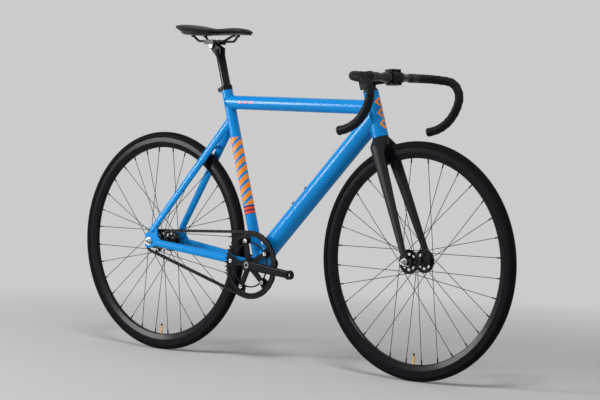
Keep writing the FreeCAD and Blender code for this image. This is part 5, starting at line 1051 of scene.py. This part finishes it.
def saddle_section(share):
    """One closed ring of the saddle cover: crowned top with a soft groove, rounded sides, flat base."""
    width, rise, depth, crown = station_at(share)
    half = SADDLE_HALF_WIDTH * width
    top = SADDLE_BASE + SADDLE_RISE * rise
    low = top - SADDLE_DEPTH * depth
    shoulder = top - SADDLE_DEPTH * crown
    x = SADDLE_REAR + SADDLE_LENGTH * share
    ring = []
    for step in range(SADDLE_TOP_POINTS):
        angle = math.pi * step / SADDLE_TOP_POINTS
        y = -half * math.cos(angle)
        z = shoulder + (top - shoulder) * math.sin(angle) ** CROWN_POWER
        ring.append(Vector((x, y, z - groove(share, y) - seam(share, step))))
    skirt = half * SADDLE_SKIRT
    for step in range(SADDLE_SIDE_POINTS):
        t = step / SADDLE_SIDE_POINTS
        y = half - (half - skirt) * t ** SKIRT_POWER
        ring.append(Vector((x, y, shoulder + (low - shoulder) * t)))
    for step in range(SADDLE_BASE_POINTS):
        ring.append(Vector((x, skirt - 2 * skirt * step / SADDLE_BASE_POINTS, low)))
    for step in range(SADDLE_SIDE_POINTS):
        t = 1 - step / SADDLE_SIDE_POINTS
        y = -half + (half - skirt) * t ** SKIRT_POWER
        ring.append(Vector((x, y, shoulder + (low - shoulder) * t)))
    return ring


def groove(share, y):
    """Depth of the soft channel along the middle of the saddle."""
    run = (share - GROOVE_START) / (GROOVE_END - GROOVE_START)
    if not 0 < run < 1:
        return 0.0
    return GROOVE_DEPTH * math.sin(math.pi * run) * math.exp(-(y / GROOVE_WIDTH) ** 2)


def seam(share, step):
    """How far the thread pulls the cover down at a point of a section."""
    sewn = step in SEAM_STEPS and SEAM_START < share < SEAM_END
    return SEAM_DIP if sewn else 0.0


def seam_path(step):
    """Points along one seam of the cover, from tail to nose."""
    span = SEAM_END - SEAM_START
    places = [SEAM_START + span * index / SEAM_POINTS for index in range(SEAM_POINTS + 1)]
    return [SADDLE_CENTRE + saddle_section(share)[step] for share in places]


def saddle_mesh():
    """The saddle cover: rings from tail to nose, closed at both ends."""
    work = bmesh.new()
    rings = []
    for index in range(SADDLE_RINGS + 1):
        share = 0.5 - 0.5 * math.cos(math.pi * index / SADDLE_RINGS)
        rings.append([work.verts.new(SADDLE_CENTRE + point) for point in saddle_section(share)])
    count = len(rings[0])
    for before, after in zip(rings, rings[1:]):
        for index in range(count):
            following = (index + 1) % count
            work.faces.new((before[index], before[following], after[following], after[index]))
    work.faces.new(rings[0])
    work.faces.new(rings[-1])
    bmesh.ops.recalc_face_normals(work, faces=work.faces)
    return smooth_mesh("saddle_skin", work)


STITCH_SEGMENTS, STITCH_RINGS = 8, 6


def stitch_tree():
    """A row of stitches along a path."""
    tree, entry, output = new_tree("stitch_row", "Pitch", "Length", "Width")
    given = entry.outputs
    spots = named(tree, "GeometryNodeResampleCurve", {
        "Curve": given["Geometry"], "Length": given["Pitch"]}, mode="LENGTH")
    ball = named(tree, "GeometryNodeMeshUVSphere", {
        "Segments": STITCH_SEGMENTS, "Rings": STITCH_RINGS, "Radius": 0.5})
    size = add(tree, "ShaderNodeCombineXYZ", given["Length"], given["Width"], given["Width"])
    stitch = named(tree, "GeometryNodeTransform", {
        "Geometry": ball.outputs["Mesh"], "Scale": size.outputs[0]})
    along = add(tree, "GeometryNodeInputTangent").outputs[0]
    turn = named(tree, "FunctionNodeAlignRotationToVector", {"Vector": along}, axis="X")
    row = named(tree, "GeometryNodeInstanceOnPoints", {
        "Points": spots.outputs[0], "Instance": stitch.outputs[0], "Rotation": turn.outputs[0]})
    close_tree(tree, row.outputs[0], given["Material"], output)
    return tree


THREAD_TWIST = 2600.0
THREAD_ROUGHNESS = (0.5, 0.7)
THREAD_BUMP = 0.3


def thread():
    """Twisted black sewing thread."""
    finish = bpy.context.scene.bicycle_finish
    material, tree, shader = new_finish("sewing_thread_black", sheen=0.2, gloss=0.3)
    twist = noise(tree, object_place(tree), THREAD_TWIST, detail=1.0)
    colour = mottled(tree, twist, finish.leather_black, dark=1.2, light=3.0)
    surface(tree, shader, colour, twist, THREAD_ROUGHNESS, twist, THREAD_BUMP, FINE_RELIEF)
    return material


LEATHER_CELLS, LEATHER_CREASES, LEATHER_POLISH = 900.0, 60.0, 14.0
CELL_SHARE, CREASE_SHARE = 0.6, 0.5
LEATHER_ROUGHNESS = (0.34, 0.5)
LEATHER_BUMP = 0.22


def leather():
    """Smooth black saddle skin: pebbled grain, faint creases and patches of polish."""
    finish = bpy.context.scene.bicycle_finish
    material, tree, shader = new_finish("saddle_leather", coat=0.05, coat_roughness=0.3, gloss=0.2)
    place = object_place(tree)
    cells = named(tree, "ShaderNodeTexVoronoi", {"Vector": place, "Scale": LEATHER_CELLS})
    pebbles = times(tree, cells.outputs["Distance"], CELL_SHARE)
    creases = noise(tree, place, LEATHER_CREASES, detail=4.0)
    polish = noise(tree, place, LEATHER_POLISH)
    colour = mottled(tree, spread(tree, polish), finish.leather_black, dark=0.8, light=1.5)
    relief = calc(tree, "ADD", pebbles, times(tree, creases, CREASE_SHARE))
    surface(tree, shader, colour, polish, LEATHER_ROUGHNESS, relief, LEATHER_BUMP, LEATHER_RELIEF)
    return material


class BICYCLE_OT_cover_saddle(bpy.types.Operator):
    """Make the padded saddle cover and its stitches"""
    bl_idname = "bicycle.cover_saddle"
    bl_label = "Cover saddle"

    def execute(self, context):
        mesh = saddle_mesh()
        mesh.materials.append(leather())
        piece = keep_piece("saddle_skin", mesh, "saddle", ["saddle_cover"])
        trim = context.scene.bicycle_trim
        tree = stitch_tree()
        values = {"Pitch": trim.stitch_pitch, "Length": trim.stitch_length, "Width": trim.thread_width,
                  "Material": thread()}
        for name, step in zip(SIDES, SEAM_STEPS):
            path = poly_curve(f"{name}_seam_path", seam_path(step))
            keep_piece(f"{name}_saddle_stitches", grown(path, tree, values), "saddle")
        return {"FINISHED"}


# Stage

AIM_POINT = (0.0, 0.0, 0.5)
KEY_PLACE = (2.1, -2.7, 4.6)
KEY_SIZE = (1.7, 1.7)
SIDE_PLACE = (-3.0, -3.0, 1.4)
SIDE_SIZE = (0.9, 1.8)
FLOOR_SIZE = 60.0
FLOOR_ROUGHNESS = 0.8
FLOOR_GLOSS = 0.1
FADE_START, FADE_END = 1.1, 2.6
SENSOR_WIDTH = 36
CLIP_END = 200


def aimed_light(name, place, size, power):
    """A rectangular light that shines on the middle of the bicycle."""
    light = bpy.data.lights.new(name, "AREA")
    light.shape = "RECTANGLE"
    light.size, light.size_y = size
    light.energy = power
    lamp = placed(name, light)
    lamp.location = place
    lamp.rotation_euler = (Vector(AIM_POINT) - Vector(place)).to_track_quat("-Z", "Y").to_euler()


def backdrop_rays(tree):
    """One for rays that see the backdrop: from the camera, off gloss or through glass."""
    rays = add(tree, "ShaderNodeLightPath").outputs
    seen = calc(tree, "MAXIMUM", rays["Is Camera Ray"], rays["Is Glossy Ray"])
    return calc(tree, "MAXIMUM", seen, rays["Is Transmission Ray"])


def studio_floor(stage):
    """A pale floor that keeps the shadow and fades into the backdrop far away."""
    mesh = bpy.data.meshes.new("studio_floor")
    corners = [(-FLOOR_SIZE, -FLOOR_SIZE, 0), (FLOOR_SIZE, -FLOOR_SIZE, 0),
               (FLOOR_SIZE, FLOOR_SIZE, 0), (-FLOOR_SIZE, FLOOR_SIZE, 0)]
    mesh.from_pydata(corners, [], [(0, 1, 2, 3)])
    material, tree, shader = new_finish("studio_floor_pale", gloss=FLOOR_GLOSS)
    shader.inputs["Base Color"].default_value = (*stage.floor_colour, 1)
    shader.inputs["Roughness"].default_value = FLOOR_ROUGHNESS
    far = named(tree, "ShaderNodeEmission", {"Color": (*stage.backdrop_colour, 1), "Strength": 1.0})
    length = named(tree, "ShaderNodeVectorMath", {0: object_place(tree)}, operation="LENGTH")
    fade = spread(tree, length.outputs["Value"], 0.0, 1.0, FADE_START, FADE_END)
    share = times(tree, fade, backdrop_rays(tree))
    mixed = add(tree, "ShaderNodeMixShader", share, shader.outputs[0], far.outputs[0])
    output = next(node for node in tree.nodes if node.type == "OUTPUT_MATERIAL")
    tree.links.new(mixed.outputs[0], output.inputs["Surface"])
    mesh.materials.append(material)
    floor = placed("studio_floor", mesh)


def studio_sky(stage):
    """Even light from all round, behind a backdrop of its own colour."""
    world = bpy.data.worlds.new("studio_sky")
    bpy.context.scene.world = world
    world.use_nodes = True
    tree = world.node_tree
    even = tree.nodes["Background"]
    even.inputs["Strength"].default_value = stage.sky_strength
    even.inputs["Color"].default_value = (1, 1, 1, 1)
    seen = named(tree, "ShaderNodeBackground", {"Color": (*stage.backdrop_colour, 1), "Strength": 1.0})
    mixed = add(tree, "ShaderNodeMixShader", backdrop_rays(tree), even.outputs[0], seen.outputs[0])
    tree.links.new(mixed.outputs[0], tree.nodes["World Output"].inputs["Surface"])


def studio_camera(stage):
    """A camera at its place, turned by its azimuth, elevation and roll."""
    data = bpy.data.cameras.new("studio_camera")
    data.sensor_width = SENSOR_WIDTH
    data.lens = stage.lens
    data.clip_end = CLIP_END
    camera = placed("studio_camera", data)
    level = math.cos(stage.elevation)
    ahead = Vector((-math.sin(stage.azimuth) * level, math.cos(stage.azimuth) * level,
                    -math.sin(stage.elevation)))
    right = Vector((math.cos(stage.azimuth), math.sin(stage.azimuth), 0))
    up = right.cross(ahead)
    c, s = math.cos(stage.roll), math.sin(stage.roll)
    right, up = c * right + s * up, c * up - s * right
    turn = Matrix((right, up, -ahead)).transposed().to_4x4()
    camera.matrix_world = Matrix.Translation(Vector(stage.camera_place)) @ turn
    bpy.context.scene.camera = camera


class BICYCLE_OT_set_stage(bpy.types.Operator):
    """Set up the floor, light and camera"""
    bl_idname = "bicycle.set_stage"
    bl_label = "Set stage"

    def execute(self, context):
        stage = context.scene.bicycle_stage
        context.scene.view_settings.view_transform = "Standard"
        studio_floor(stage)
        studio_sky(stage)
        studio_camera(stage)
        aimed_light("key_light", KEY_PLACE, KEY_SIZE, stage.key_power)
        aimed_light("side_light", SIDE_PLACE, SIDE_SIZE, stage.side_power)
        return {"FINISHED"}


# Add-on

OPERATORS = (
    BICYCLE_OT_paint_frame,
    BICYCLE_OT_paint_fork,
    BICYCLE_OT_finish_alloy,
    BICYCLE_OT_finish_steel,
    BICYCLE_OT_fit_rubber,
    BICYCLE_OT_weld_frame,
    BICYCLE_OT_wrap_bar,
    BICYCLE_OT_cover_saddle,
    BICYCLE_OT_set_stage,
)
GROUPS = {
    "bicycle_paint": PaintSettings,
    "bicycle_finish": FinishSettings,
    "bicycle_trim": TrimSettings,
    "bicycle_stage": StageSettings,
}


class BICYCLE_PT_sidebar(bpy.types.Panel):
    """Lists the steps and settings of the bicycle"""
    bl_idname = "BICYCLE_PT_sidebar"
    bl_label = "Fixed gear bicycle"
    bl_space_type = "VIEW_3D"
    bl_region_type = "UI"
    bl_category = "Bicycle"

    def draw(self, context):
        for operator in OPERATORS:
            self.layout.operator(operator.bl_idname)
        for group_name in GROUPS:
            group = getattr(context.scene, group_name)
            box = self.layout.box()
            for name in group.bl_rna.properties.keys():
                if name not in {"rna_type", "name"}:
                    box.prop(group, name)


def register():
    for name, group in GROUPS.items():
        bpy.utils.register_class(group)
        setattr(bpy.types.Scene, name, PointerProperty(type=group))
    for operator in OPERATORS:
        bpy.utils.register_class(operator)
    bpy.utils.register_class(BICYCLE_PT_sidebar)


def unregister():
    bpy.utils.unregister_class(BICYCLE_PT_sidebar)
    for operator in reversed(OPERATORS):
        bpy.utils.unregister_class(operator)
    for name, group in GROUPS.items():
        delattr(bpy.types.Scene, name)
        bpy.utils.unregister_class(group)


def main():
    register()
    bpy.ops.bicycle.paint_frame()
    bpy.ops.bicycle.paint_fork()
    bpy.ops.bicycle.finish_alloy()
    bpy.ops.bicycle.finish_steel()
    bpy.ops.bicycle.fit_rubber()
    bpy.ops.bicycle.weld_frame()
    bpy.ops.bicycle.wrap_bar()
    bpy.ops.bicycle.cover_saddle()
    bpy.ops.bicycle.set_stage()


if __name__ == "__main__":
    main()
